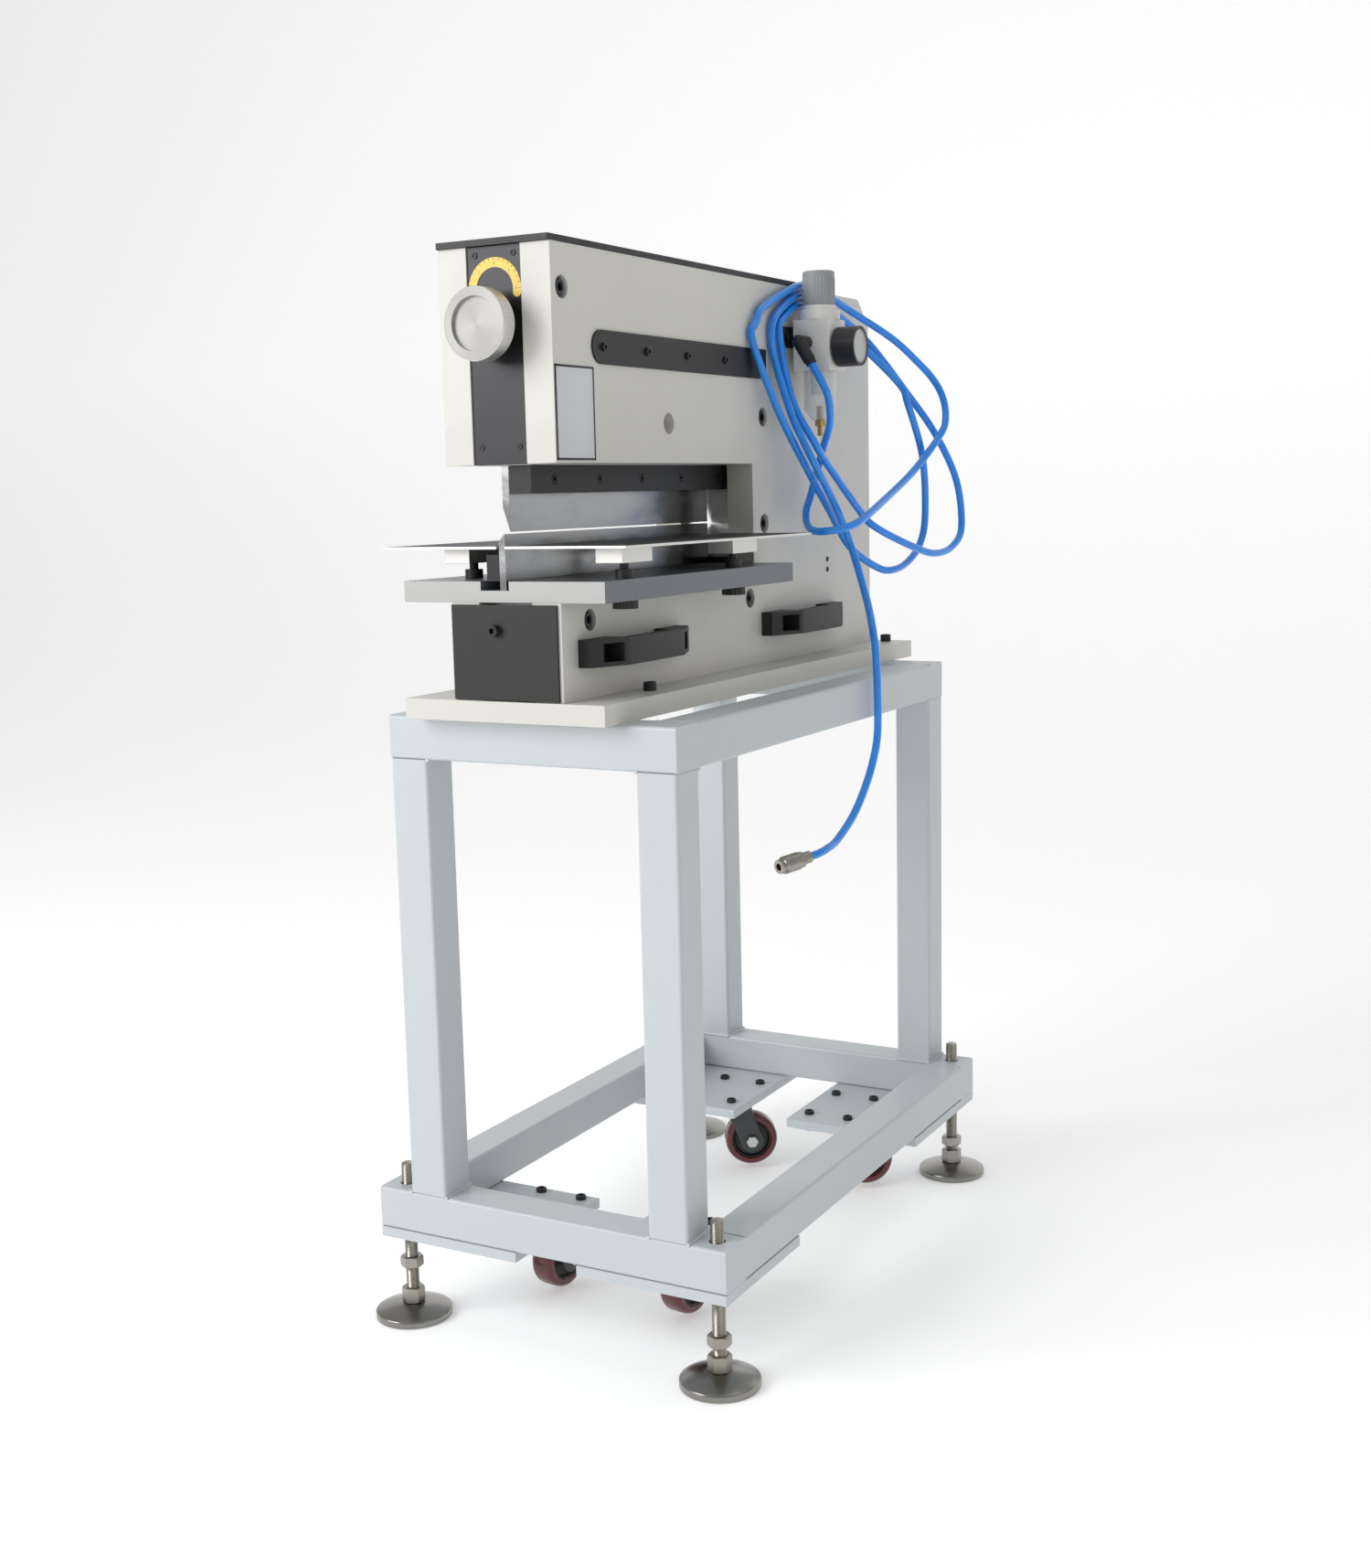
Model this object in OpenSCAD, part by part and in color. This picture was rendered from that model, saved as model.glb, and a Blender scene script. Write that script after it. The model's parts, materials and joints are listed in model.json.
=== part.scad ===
// Pneumatic V-groove board separator on a welded stand.
// A C-shaped body carries a fixed lower blade and an upper blade that an air
// cylinder presses down through a wedge. All sizes are in millimetres.

/* [Stand] */
// Width over the legs
stand_w = 372; // [340:1:420]
// Depth over the legs
stand_d = 773; // [740:1:830]
// Height of the stand's top face above the floor
stand_h = 735; // [600:1:850]
// Side of the square tube
tube = 50; // [44:1:54]
// Wall of the square tube
tube_wall = 3; // [2:0.5:5]
// Outer corner radius of the square tube
tube_r = 4; // [2:0.5:6]
// Width over the base rails
base_w = 464; // [450:1:500]
// Height of the base rails' underside above the floor
base_clear = 117; // [112:1:140]
// Thickness of the caster plates
weld_plate_t = 12; // [8:1:14]
// Distance of a caster plate's inner edge from the middle of the stand
weld_plate_x = 41; // [30:1:50]
// Depth of the front caster plates
front_weld_d = 187; // [187:1:200]
// Depth of the rear caster plates
rear_weld_d = 221; // [205:1:240]

/* [Levelling feet] */
// Diameter of a foot pad
pad_d = 92; // [80:1:96]
// Height of a foot pad's rim
pad_rim_h = 9; // [6:1:12]
// Height of a foot pad
pad_h = 17; // [15:1:20]
// Diameter of a foot's threaded stud
stud_d = 16; // [12:1:18]
// Height of the stud's top above the floor
stud_top = 192; // [180:1:210]
// Height of the foot's hexagon
foot_hex_h = 19; // [12:1:20]
// Width across the flats of the hexagon and the lock nut
hex_af = 24; // [22:1:26]
// Height of a lock nut
lock_nut_h = 13; // [8:1:14]

/* [Casters] */
// Wheel diameter
wheel_d = 75; // [65:1:76]
// Wheel width
wheel_w = 30; // [24:1:32]
// Height of the wheels above the floor when the machine stands on its feet
wheel_lift = 8; // [6:1:12]
// Distance from the swivel axis to the wheel axle
caster_trail = 32; // [26:1:34]
// Distance of a swivel axis from the middle of the stand
caster_x = 90; // [86:1:92]
// Distance of the front swivel axes from the stand's front face
caster_front_y = 130; // [125:1:131]
// Distance of the rear swivel axes from the stand's rear face
caster_rear_y = 143; // [135:1:150]
// Width of a caster's top plate
caster_plate_w = 78; // [76:1:82]
// Depth of a caster's top plate
caster_plate_d = 112; // [108:1:114]
// Thickness of a caster's top plate
caster_plate_t = 4; // [3:0.5:5]
// Spacing of a caster's bolts across the machine
caster_bolt_x = 58; // [56:1:60]
// Spacing of a caster's bolts along the machine
caster_bolt_y = 92; // [88:1:94]
// Diameter of a caster's bolts
caster_bolt_d = 8; // [6:1:8]
// Thickness of a fork leg
fork_t = 3; // [2.5:0.5:4]
// Axle diameter
axle_d = 10; // [8:1:12]

/* [Body] */
// Middle of the body and of the blades, measured from the middle of the stand
body_x = -7; // [-15:1:5]
// Width over the side plates
body_w = 140; // [136:1:150]
// Thickness of a side plate
side_t = 36; // [32:1:37]
// Front of the body, measured from the stand's front face
body_front = -21; // [-30:1:-15]
// Depth of the body
body_d = 829; // [815:1:840]
// Depth of the throat
throat_d = 457; // [450:1:465]
// Height of the lower jaw above the base plate
jaw_h = 106; // [95:1:120]
// Height of the open throat between the lower jaw and the arm
throat_h = 146; // [144:1:160]
// Height of the arm
arm_h = 225; // [223:1:245]
// Chamfer at the rear top corner, along the body
chamfer_y = 36; // [20:1:50]
// Chamfer at the rear top corner, upright
chamfer_z = 33; // [20:1:50]
// Middle of the base plate, measured from the middle of the stand
base_plate_x = -13; // [-16:1:-8]
// Width of the base plate and of the platform
base_plate_w = 258; // [250:1:266]
// Thickness of the base plate
base_plate_t = 23; // [16:1:30]
// Overhang of the base plate in front of the stand
base_plate_front = 26; // [22:1:34]
// Overhang of the base plate behind the stand
base_plate_rear = 61; // [55:1:80]
// Thickness of the top cap
cap_t = 7; // [4:1:10]
// Length of the top cap
cap_l = 664; // [600:1:700]
// Diameter of the body's fixing screws
body_screw_d = 12; // [10:1:12]
// Diameter of the counterbores for the fixing screws
counterbore_d = 24; // [20:1:26]
// Depth of the counterbores
counterbore_h = 14; // [13:1:16]
// Diameter of the lifting bore in each side plate
lift_bore_d = 24; // [20:1:30]
// Depth of the lifting bore
lift_bore_h = 20; // [10:1:25]
// Height of a guide bar in the side plates
bar_h = 36; // [30:1:38]
// Length of a guide bar
bar_l = 420; // [400:1:430]
// Thickness of a guide bar
bar_t = 12; // [10:1:14]
// How far a guide bar stands out of its pocket
bar_proud = 2; // [1:0.5:4]

/* [Blades] */
// Length of the blades
blade_l = 451; // [440:1:452]
// Thickness of the upper blade
upper_blade_t = 9; // [8:0.5:10]
// Height of the upper blade
upper_blade_h = 70; // [69.5:0.5:71]
// Height of the upper blade's bevel
upper_bevel_h = 26; // [20:1:30]
// Thickness of the lower blade
lower_blade_t = 8; // [6:0.5:8]
// Height of the lower blade
lower_blade_h = 60; // [56:1:60]
// Height of the lower blade's bevel
lower_bevel_h = 8; // [5:1:10]
// Width of a cutting edge
edge_w = 0.4; // [0.3:0.1:1]
// Width of the upper blade's holder bar
holder_w = 28; // [26:1:30]
// Height of the upper blade's holder bar
holder_h = 30; // [26:1:32]
// Blade stroke
blade_stroke = 1.75; // [1:0.25:1.8]
// Travel of the wedge for one blade stroke
wedge_travel = 25; // [20:1:25]

/* [Tables] */
// Thickness of the platform
platform_t = 23; // [18:1:24]
// Width of a table
table_w = 150; // [140:1:155]
// Thickness of a table
table_t = 3; // [2:0.5:4]
// Height of a table's top face above the platform
table_lift = 37; // [36:0.5:38]
// Range of a table above and below its rest height
table_range = 4; // [2:0.5:4]
// Width of a table's support block
block_w = 33; // [30:1:36]
// Length of a table's support block
block_l = 64; // [60:1:70]
// Height of a table's support block
block_h = 16.5; // [15:0.5:17]
// Distance of the right jacks from the middle of the body
right_jack_x = 110; // [106:1:112]
// Distance of the left jacks from the middle of the body
left_jack_x = 85; // [85:1:95]
// Distance of the front jacks from the body's front
jack_front_y = 66; // [60:1:80]
// Distance between the front and the rear jacks
jack_pitch_y = 255; // [240:1:280]
// Diameter of a jack's hand wheel
jack_head_d = 28; // [26:1:29]
// Height of a jack's hand wheel
jack_head_h = 9; // [7:1:12]
// Thread diameter of a jack
jack_thread_d = 10; // [8:1:12]

/* [Controls] */
// Diameter of the stroke knob
knob_d = 76; // [70:1:80]
// Thickness of the stroke knob
knob_t = 20; // [16:1:22]
// Distance from the front plate's face to the stroke knob's face
knob_reach = 41; // [38:1:50]
// Diameter of the stroke spindle
spindle_d = 16; // [12:1:20]
// Height of the stroke spindle above the arm's underside
spindle_z = 143; // [140:1:146]
// Outer radius of the dial
dial_r = 33; // [24:1:33]
// Width of the dial's band
dial_w = 7.5; // [6:0.5:9]

/* [Handles] */
// Length of a carry handle
handle_l = 222; // [210:1:228]
// Height of a carry handle
handle_h = 30; // [26:1:34]
// Reach of a carry handle
handle_reach = 36; // [34:1:42]
// Thickness of a handle's grip
grip_t = 13; // [11:0.5:15]
// Length of a handle's foot
handle_foot_l = 56; // [50:1:60]

/* [Air service unit] */
// Side of the regulator's square body
reg_w = 50; // [46:1:50]
// Height of the regulator's body
reg_h = 64; // [58:1:66]
// Gap between the side plate and the regulator's body
reg_gap = 10; // [9.5:0.5:12]
// Distance of the regulator's axis behind the column's front
reg_y = 129; // [120:1:150]
// Height of the regulator's body above the arm's underside
reg_z = 117; // [116:1:125]
// Diameter of the regulator's knob
reg_knob_d = 42; // [38:1:42]
// Height of the regulator's knob
reg_knob_h = 43; // [36:1:46]
// Diameter of the filter bowl
bowl_d = 42; // [38:1:44]
// Height of the filter bowl
bowl_h = 62; // [58:1:66]
// Wall of the filter bowl
bowl_wall = 2.5; // [2:0.5:3]
// Diameter of the gauge
gauge_d = 50; // [44:1:52]
// Depth of the gauge
gauge_t = 30; // [26:1:32]
// Diameter of the air hose
hose_d = 10; // [8:1:10]

/* [Fits] */
// Radial clearance of a running fit
run_fit = 0.08; // [0.05:0.01:0.1]
// Clearance between sliding faces
slide_fit = 0.1; // [0.1:0.05:0.3]
// Radial clearance of a screw in its hole
screw_fit = 0.3; // [0.2:0.1:0.5]

/* [Hidden] */
$fn = 64;

// Heights above the floor
groove_depth = 10;
base_top = base_clear + tube;
plate_z = stand_h + base_plate_t;
jaw_z = plate_z + jaw_h;
platform_z = jaw_z + platform_t;
arm_z = jaw_z + throat_h;
body_top = arm_z + arm_h;
table_z = platform_z + table_lift;
weld_z = base_clear - weld_plate_t;
holder_top = arm_z - 1;
upper_edge_z = holder_top - upper_blade_h;
lower_edge_z = platform_z - groove_depth + lower_blade_h;

// Places along the machine, from the stand's front face
column_y = body_front + throat_d;
body_rear = body_front + body_d;
front_plate_t = 8;
front_recess = 2;
front_plate_y = body_front + front_recess;
inner_front = front_plate_y + front_plate_t;
foot_y = tube / 2;
stroke_y = front_plate_y - knob_reach;
machine_front = stroke_y;
machine_rear = stand_d + base_plate_rear;

// The four corners: side (-1 left, 1 right), foot y, caster y, trail angle, lock nut height
foot_x = (stand_w + base_w) / 4;
corners = [
    [-1, foot_y, caster_front_y, 84, 62],
    [1, foot_y, caster_front_y, 84, 46],
    [-1, stand_d - foot_y, stand_d - caster_rear_y, 32, 48],
    [1, stand_d - foot_y, stand_d - caster_rear_y, 28, 42]
];

// Body, measured outward from its middle
gap_w = body_w - 2 * side_t;
half_gap = gap_w / 2;
half_body = body_w / 2;

// Wedge and beam
wedge_slope = blade_stroke / wedge_travel;
wedge_front = 35;
wedge_l = 410;
wedge_up = 160;
wedge_top = arm_z + wedge_up;
wedge_front_h = 36;
wedge_w = gap_w - 8;
guide_top = body_top - 7;
spindle_h = arm_z + spindle_z;
beam_rear = inner_front + blade_l + 10;
column_block_y = beam_rear + 0.5;
cylinder_y = 520;
cylinder_l = 140;
cylinder_w = gap_w - 8;
rod_d = 20;
spindle_end = wedge_front - wedge_travel - slide_fit;
bar_y = 56;
bar_up = 123;
bar_z = arm_z + bar_up;
bar_screw_pitch = 95;

// Blades and their seats
blade_front = body_front + 15;
groove_w = 36;
clamp_w = 16.5;
clamp_h = 28;
blade_screw_front = 47;
blade_screw_rear = 24;
blade_screw_pitch = (blade_l - blade_screw_front - blade_screw_rear) / 4;
table_gap = 1;

// Jacks
jack_xs = [-left_jack_x, right_jack_x];
jack_ys = [body_front + jack_front_y, body_front + jack_front_y + jack_pitch_y];
block_z = table_z - table_t - block_h;
collar_d = 20;
collar_h = 10;
shank_d = jack_thread_d + 2;

// Air service unit, in the body's own outward x
reg_x = half_body + reg_gap + reg_w / 2;
reg_cy = column_y + reg_y;
reg_bottom = arm_z + reg_z;
reg_top = reg_bottom + reg_h;
flange_h = 12;
neck_h = 6;
knob_bottom = reg_top + flange_h + neck_h;
gauge_z = reg_bottom + 29;
gauge_stem = 3;
gauge_x = half_body + reg_gap + reg_w + gauge_stem;
elbow_x = reg_x - 6;
elbow_z = reg_bottom + 35;
elbow_reach = 25;
elbow_d = 16;
elbow_leg = 34;
elbow_tilt = 32;
ring_h = 5;

// Casters
race_d = 42;
race_drop = 13;
swivel_z = weld_z - race_drop;
king_pin_d = 12;
king_pin_h = 9;
axle_z = wheel_lift + wheel_d / 2;
fork_gap = wheel_w + 6;

// Levelling feet
foot_socket_d = 14;
foot_socket_z = 8;

// Front cover, with its screw
cover_t = 3;
cover_screw_x = -12;
cover_screw_drop = 29;
cover_screw_d = 8;

// Carry handles: their first screw from the end, their places and the recesses for the screws
handle_screw_in = 30;
handle_screw_ys = [handle_screw_in, handle_l - handle_screw_in];
handle_inset = 31;
handle_pitch = 445;
handle_ys = [body_front + handle_inset, body_front + handle_inset + handle_pitch];
handle_up = 50;
handle_z = plate_z + handle_up;
handle_floor = 8;
handle_recess_l = 26;
handle_recess_h = handle_h - 10;

// Cylinder and its rod
rod_drop = 30;
rod_z0 = wedge_top - rod_drop;

// Filter drain and gauge needle
drain_d = 9;
needle_shaft_d = 3;

// Base plate screws, as [x, y]
base_bolt_in = 30;
base_bolt_front = 123;
base_bolt_rear = 24;
base_bolts = [
    for (sx = [-1, 1], y = [base_bolt_front, machine_rear - base_bolt_rear])
        [base_plate_x + sx * (base_plate_w / 2 - base_bolt_in), y]
];

// Fixing screws through each side plate, as [y, z]
column_screw_y = column_block_y + 17.5;
jaw_screw_z = jaw_z - 21;
body_screw_at = [
    [body_front + 21, body_top - 45],
    [column_screw_y, arm_z + 58],
    [column_screw_y, arm_z - 75],
    [column_y - 12, jaw_screw_z],
    [body_front + 58, jaw_screw_z]
];
lift_bore_back = 244;
lift_bore_up = 45;
lift_bore_at = [body_front + lift_bore_back, arm_z + lift_bore_up];

// The hose's own centre line, from the elbow's ring to the coupler
hose_points = [
    [110, 515, 1133], [122, 514, 1114], [130, 520, 1092], [124, 538, 1060], [104, 558, 1026],
    [92, 566, 998], [88, 556, 970], [90, 536, 948], [100, 518, 932], [116, 504, 924],
    [138, 502, 924], [156, 516, 928], [166, 546, 938], [164, 648, 970], [168, 724, 1002], [184, 776, 1048], [184, 794, 1072],
    [176, 804, 1098], [162, 806, 1122], [146, 794, 1144], [120, 758, 1178], [82, 700, 1214],
    [72, 664, 1228], [70, 620, 1236], [70, 564, 1236], [70, 464, 1204], [70, 438, 1182],
    [70, 428, 1158], [86, 468, 1072], [104, 508, 1004], [108, 570, 948], [114, 620, 900],
    [134, 668, 870], [146, 698, 866], [150, 740, 876], [154, 772, 898], [158, 782, 936],
    [160, 768, 1016], [150, 740, 1088], [138, 738, 1116], [98, 704, 1166], [84, 688, 1178],
    [74, 654, 1192], [70, 612, 1206], [70, 564, 1212], [70, 524, 1196], [70, 504, 1174],
    [86, 506, 1090], [116, 506, 1036], [118, 542, 1008], [130, 616, 948], [146, 636, 924],
    [176, 706, 894], [188, 748, 886], [194, 794, 894], [196, 824, 920], [190, 820, 984],
    [166, 802, 1048], [136, 772, 1104], [98, 726, 1172], [76, 672, 1206], [70, 624, 1220],
    [70, 564, 1224], [70, 516, 1206], [70, 488, 1188], [70, 482, 1166], [72, 488, 1136],
    [92, 490, 1072], [108, 488, 1040], [120, 496, 1010], [128, 544, 954], [138, 570, 902],
    [168, 550, 834], [190, 518, 796], [196, 514, 756], [198, 512, 674], [196, 502, 634],
    [194, 476, 598], [192, 442, 568], [190, 398, 546], [190, 370, 541],
    [187, 352, 538], [181, 338, 536]
];
hose_n = len(hose_points);
hose_sides = 8;
coupler_l = 50;

// Everything is drawn from the stand's front face and then centred on the floor
module placed() {
    translate([0, -(machine_front + machine_rear) / 2, 0]) children();
}

// Outward x of the body: side 1 is the right side, side -1 the left
module on_side(side) {
    translate([body_x, 0, 0]) mirror([side < 0 ? 1 : 0, 0, 0]) children();
}

// Extrudes an outline given as [y, z] from x0 over the width w
module profile_yz(x0, w) {
    translate([x0, 0, 0]) rotate([90, 0, 90]) linear_extrude(w) children();
}

// Extrudes an outline given as [x, z] from y0 over the length l
module profile_xz(y0, l) {
    translate([0, y0 + l, 0]) rotate([90, 0, 0]) linear_extrude(l) children();
}

module block(low, high) {
    translate(low) cube(high - low);
}

// Rod along X, Y or Z from a point
module rod_x(p, d, l) {
    translate(p) rotate([0, 90, 0]) cylinder(d = d, h = l);
}

module rod_y(p, d, l) {
    translate(p) rotate([-90, 0, 0]) cylinder(d = d, h = l);
}

module rod_z(p, d, l) {
    translate(p) cylinder(d = d, h = l);
}

// Square with rounded corners, on its centre
module rounded_square(w, h, r) {
    union() {
        square([w - 2 * r, h], center = true);
        square([w, h - 2 * r], center = true);
        for (sx = [-1, 1], sy = [-1, 1])
            translate([sx * (w / 2 - r), sy * (h / 2 - r)]) circle(r);
    }
}

// Closed square tube of length l along Z, with its axis on the origin
module square_tube(l) {
    difference() {
        linear_extrude(l) rounded_square(tube, tube, tube_r);
        translate([0, 0, tube_wall])
            linear_extrude(l - 2 * tube_wall)
                square(tube - 2 * tube_wall, center = true);
    }
}

module tube_x(x0, x1, y, z) {
    translate([x0, y, z]) rotate([0, 90, 0]) square_tube(x1 - x0);
}

module tube_y(y0, y1, x, z) {
    translate([x, y0, z]) rotate([-90, 0, 0]) square_tube(y1 - y0);
}

// Socket head cap screw: head top at the origin, pointing along -Z
module cap_screw(d, head_h, l) {
    difference() {
        union() {
            translate([0, 0, -head_h]) cylinder(d = 1.5 * d, h = head_h);
            translate([0, 0, -head_h - l]) cylinder(d = d, h = l);
        }
        translate([0, 0, -head_h / 2])
            cylinder(d = 0.9 * d, h = head_h, $fn = 6);
    }
}

module hexagon(af, h) {
    cylinder(d = af / cos(30), h = h, $fn = 6);
}

// ---- Stand ----

module stand_legs() {
    color("lightsteelblue")
        for (c = corners)
            translate([c[0] * (stand_w - tube) / 2, c[1], base_top])
                square_tube(stand_h - tube - base_top);
}

module top_rails() {
    color("lightsteelblue") {
        for (y = [foot_y, stand_d - foot_y])
            tube_x(-stand_w / 2, stand_w / 2, y, stand_h - tube / 2);
        for (side = [-1, 1])
            tube_y(tube, stand_d - tube, side * (stand_w - tube) / 2, stand_h - tube / 2);
    }
}

module base_rails() {
    rail_z = base_clear + tube / 2;
    color("lightsteelblue") {
        difference() {
            for (y = [foot_y, stand_d - foot_y])
                tube_x(-base_w / 2, base_w / 2, y, rail_z);
            for (c = corners)
                rod_z([c[0] * foot_x, c[1], base_clear - 1], stud_d + 2, tube + 2);
        }
        for (side = [-1, 1])
            tube_y(tube, stand_d - tube, side * (base_w - tube) / 2, rail_z);
    }
}

module caster_hole_grid(c) {
    for (sx = [-1, 1], sy = [-1, 1])
        translate([c[0] * caster_x + sx * caster_bolt_x / 2, c[2] + sy * caster_bolt_y / 2, 0])
            children();
}

module caster_plates() {
    color("lightsteelblue")
        for (c = corners) {
            front = c[1] < stand_d / 2;
            y0 = front ? 0 : stand_d - rear_weld_d;
            y1 = front ? front_weld_d : stand_d;
            x0 = c[0] < 0 ? -base_w / 2 : weld_plate_x;
            difference() {
                block([x0, y0, weld_z], [x0 + base_w / 2 - weld_plate_x, y1, base_clear]);
                rod_z([c[0] * foot_x, c[1], weld_z - 1], stud_d + 2 * run_fit, weld_plate_t + 2);
                caster_hole_grid(c)
                    rod_z([0, 0, weld_z - 1], caster_bolt_d + 2 * screw_fit, weld_plate_t + 2);
            }
        }
}

module caster_bolts() {
    color("black")
        for (c = corners)
            caster_hole_grid(c) {
                head_h = 5;
                nut_h = 7;
                translate([0, 0, base_clear + head_h])
                    cap_screw(caster_bolt_d, head_h, weld_plate_t + caster_plate_t);
                translate([0, 0, weld_z - caster_plate_t - nut_h]) hexagon(13, nut_h);
            }
}

// Fixed top plate and swivel race of each caster
module caster_heads() {
    race_h = 9;
    color("silver")
        for (c = corners)
            difference() {
                union() {
                    translate([c[0] * caster_x, c[2], weld_z - caster_plate_t])
                        linear_extrude(caster_plate_t)
                            rounded_square(caster_plate_w, caster_plate_d, 8);
                    translate([c[0] * caster_x, c[2], weld_z - caster_plate_t - race_h])
                        cylinder(d = race_d, h = race_h);
                }
                rod_z([c[0] * caster_x, c[2], swivel_z - 1], king_pin_d + 2 * run_fit, king_pin_h + 1);
                caster_hole_grid(c)
                    rod_z([0, 0, weld_z - caster_plate_t - 1], caster_bolt_d + 2 * screw_fit,
                        caster_plate_t + 2);
            }
}

// Puts a caster piece on its swivel axis, with +X along the trail
module on_caster(c) {
    translate([c[0] * caster_x, c[2], 0]) rotate([0, 0, c[3]]) children();
}

module caster_fork(i) {
    crown_t = 5;
    crown_z = swivel_z - 0.2 - crown_t;
    leg_w = 34;
    leg_top = crown_z + crown_t;
    color("dimgray") on_caster(corners[i]) {
        union() {
            rod_z([0, 0, crown_z], race_d + 4, crown_t);
            rod_z([0, 0, crown_z + crown_t], king_pin_d, king_pin_h);
            block([-4, -fork_gap / 2 - fork_t, crown_z], [caster_trail, fork_gap / 2 + fork_t, leg_top]);
            for (side = [-1, 1])
                translate([0, side * (fork_gap + fork_t) / 2 + fork_t / 2, 0])
                    rotate([90, 0, 0])
                        linear_extrude(fork_t)
                            difference() {
                                union() {
                                    polygon([
                                        [-4, leg_top], [caster_trail - leg_w / 2, axle_z],
                                        [caster_trail + leg_w / 2, axle_z], [caster_trail, leg_top]
                                    ]);
                                    translate([caster_trail, axle_z]) circle(d = leg_w);
                                }
                                translate([caster_trail, axle_z]) circle(d = axle_d);
                            }
        }
        // Axle bolt with its head and nut
        axle_l = fork_gap + 2 * fork_t;
        color("silver") union() {
            rod_y([caster_trail, -axle_l / 2, axle_z], axle_d, axle_l);
            for (side = [-1, 1])
                translate([caster_trail, side * (axle_l / 2 + 2.5), axle_z])
                    rotate([90, 0, 0])
                        cylinder(d = 16, h = 5, center = true);
        }
    }
}

module caster_wheel(i) {
    color("firebrick") on_caster(corners[i])
        translate([caster_trail, 0, axle_z])
            rotate([90, 0, 0]) {
                // Tyre
                rotate_extrude() polygon([
                    [wheel_d / 2 - 9, -wheel_w / 2], [wheel_d / 2 - 3, -wheel_w / 2],
                    [wheel_d / 2, -wheel_w / 2 + 5], [wheel_d / 2, wheel_w / 2 - 5],
                    [wheel_d / 2 - 3, wheel_w / 2], [wheel_d / 2 - 9, wheel_w / 2]
                ]);
                // Core with its hub
                color("dimgray") difference() {
                    union() {
                        cylinder(r = wheel_d / 2 - 9, h = wheel_w - 4, center = true);
                        cylinder(d = 22, h = wheel_w + 4, center = true);
                    }
                    cylinder(d = axle_d + 2 * run_fit, h = wheel_w + 8, center = true);
                }
            }
}

module foot_pad(i) {
    c = corners[i];
    color("gray") translate([c[0] * foot_x, c[1], 0])
        rotate_extrude() polygon([
            [0, 0], [pad_d / 2 - 1, 0], [pad_d / 2, 1], [pad_d / 2, pad_rim_h],
            [stud_d, pad_h], [foot_socket_d / 2 + run_fit, pad_h],
            [foot_socket_d / 2 + run_fit, foot_socket_z], [0, foot_socket_z]
        ]);
}

module foot_stud(i) {
    c = corners[i];
    stud_z = foot_socket_z + slide_fit;
    hex_z = pad_h + slide_fit;
    color("silver") translate([c[0] * foot_x, c[1], 0]) {
        union() {
            rod_z([0, 0, stud_z], foot_socket_d, hex_z - stud_z);
            translate([0, 0, hex_z]) hexagon(hex_af, foot_hex_h);
            rod_z([0, 0, hex_z], stud_d, stud_top - hex_z - 1.5);
            translate([0, 0, stud_top - 1.5])
                cylinder(d1 = stud_d, d2 = stud_d - 3, h = 1.5);
        }
        // Lock nut
        translate([0, 0, c[4]]) difference() {
            hexagon(hex_af, lock_nut_h);
            translate([0, 0, -1]) cylinder(d = stud_d, h = lock_nut_h + 2);
        }
    }
}

// ---- Body ----

module base_plate() {
    x0 = base_plate_x - base_plate_w / 2;
    color("whitesmoke")
        difference() {
            block([x0, -base_plate_front, stand_h],
                [x0 + base_plate_w, machine_rear, plate_z]);
            for (p = base_bolts)
                rod_z([p[0], p[1], stand_h - 1], 10 + 2 * screw_fit, base_plate_t + 2);
        }
}

module side_plate() {
    difference() {
        profile_yz(half_gap, side_t) polygon([
            [body_front, plate_z], [body_rear, plate_z],
            [body_rear, body_top - chamfer_z], [body_rear - chamfer_y, body_top],
            [body_front, body_top], [body_front, arm_z],
            [column_y, arm_z], [column_y, jaw_z], [body_front, jaw_z]
        ]);
        for (p = body_screw_at) {
            rod_x([half_gap - 1, p[0], p[1]], body_screw_d + 2 * screw_fit, side_t + 2);
            rod_x([half_body - counterbore_h, p[0], p[1]], counterbore_d, counterbore_h + 1);
        }
        rod_x([half_body - lift_bore_h, lift_bore_at[0], lift_bore_at[1]], lift_bore_d, lift_bore_h + 1);
        profile_yz(half_body - bar_t + bar_proud, bar_t) guide_bar_outline(slide_fit);
    }
}

module guide_bar_outline(extra) {
    r = bar_h / 2 + extra;
    translate([bar_y + bar_h / 2, bar_z]) circle(r);
    translate([bar_y + bar_h / 2, bar_z - r]) square([bar_l - bar_h / 2 + extra, 2 * r]);
}

module left_side_plate() {
    color("gainsboro") on_side(-1) side_plate();
}

module right_side_plate() {
    color("gainsboro") on_side(1) side_plate();
}

// Blocks between the side plates: jaw, column, rear and wedge guide
module spacer_blocks() {
    guide_z = wedge_top + slide_fit;
    color("silver") translate([body_x, 0, 0])
        difference() {
            union() {
                block([-half_gap, body_front + 21, plate_z + 22], [half_gap, column_y + 4, jaw_z]);
                block([-half_gap, column_block_y, jaw_z + 30],
                    [half_gap, column_block_y + 40, wedge_top - 70]);
                block([-half_gap, inner_front, guide_z], [half_gap, beam_rear + 25, guide_top]);
                block([-half_gap, cylinder_y + cylinder_l, guide_z - 80],
                    [half_gap, cylinder_y + cylinder_l + 30, guide_z]);
                block([-half_gap, body_rear - 80, plate_z], [half_gap, body_rear - 40, arm_z + 100]);
            }
            for (side = [-1, 1], p = body_screw_at)
                rod_x([side * half_gap - 20, p[0], p[1]], body_screw_d + 2 * screw_fit, 40);
        }
}

module top_cap() {
    color("black")
        block([body_x - half_body, body_front - cover_t, body_top],
            [body_x + half_body, body_front - cover_t + cap_l, body_top + cap_t]);
}

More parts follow.
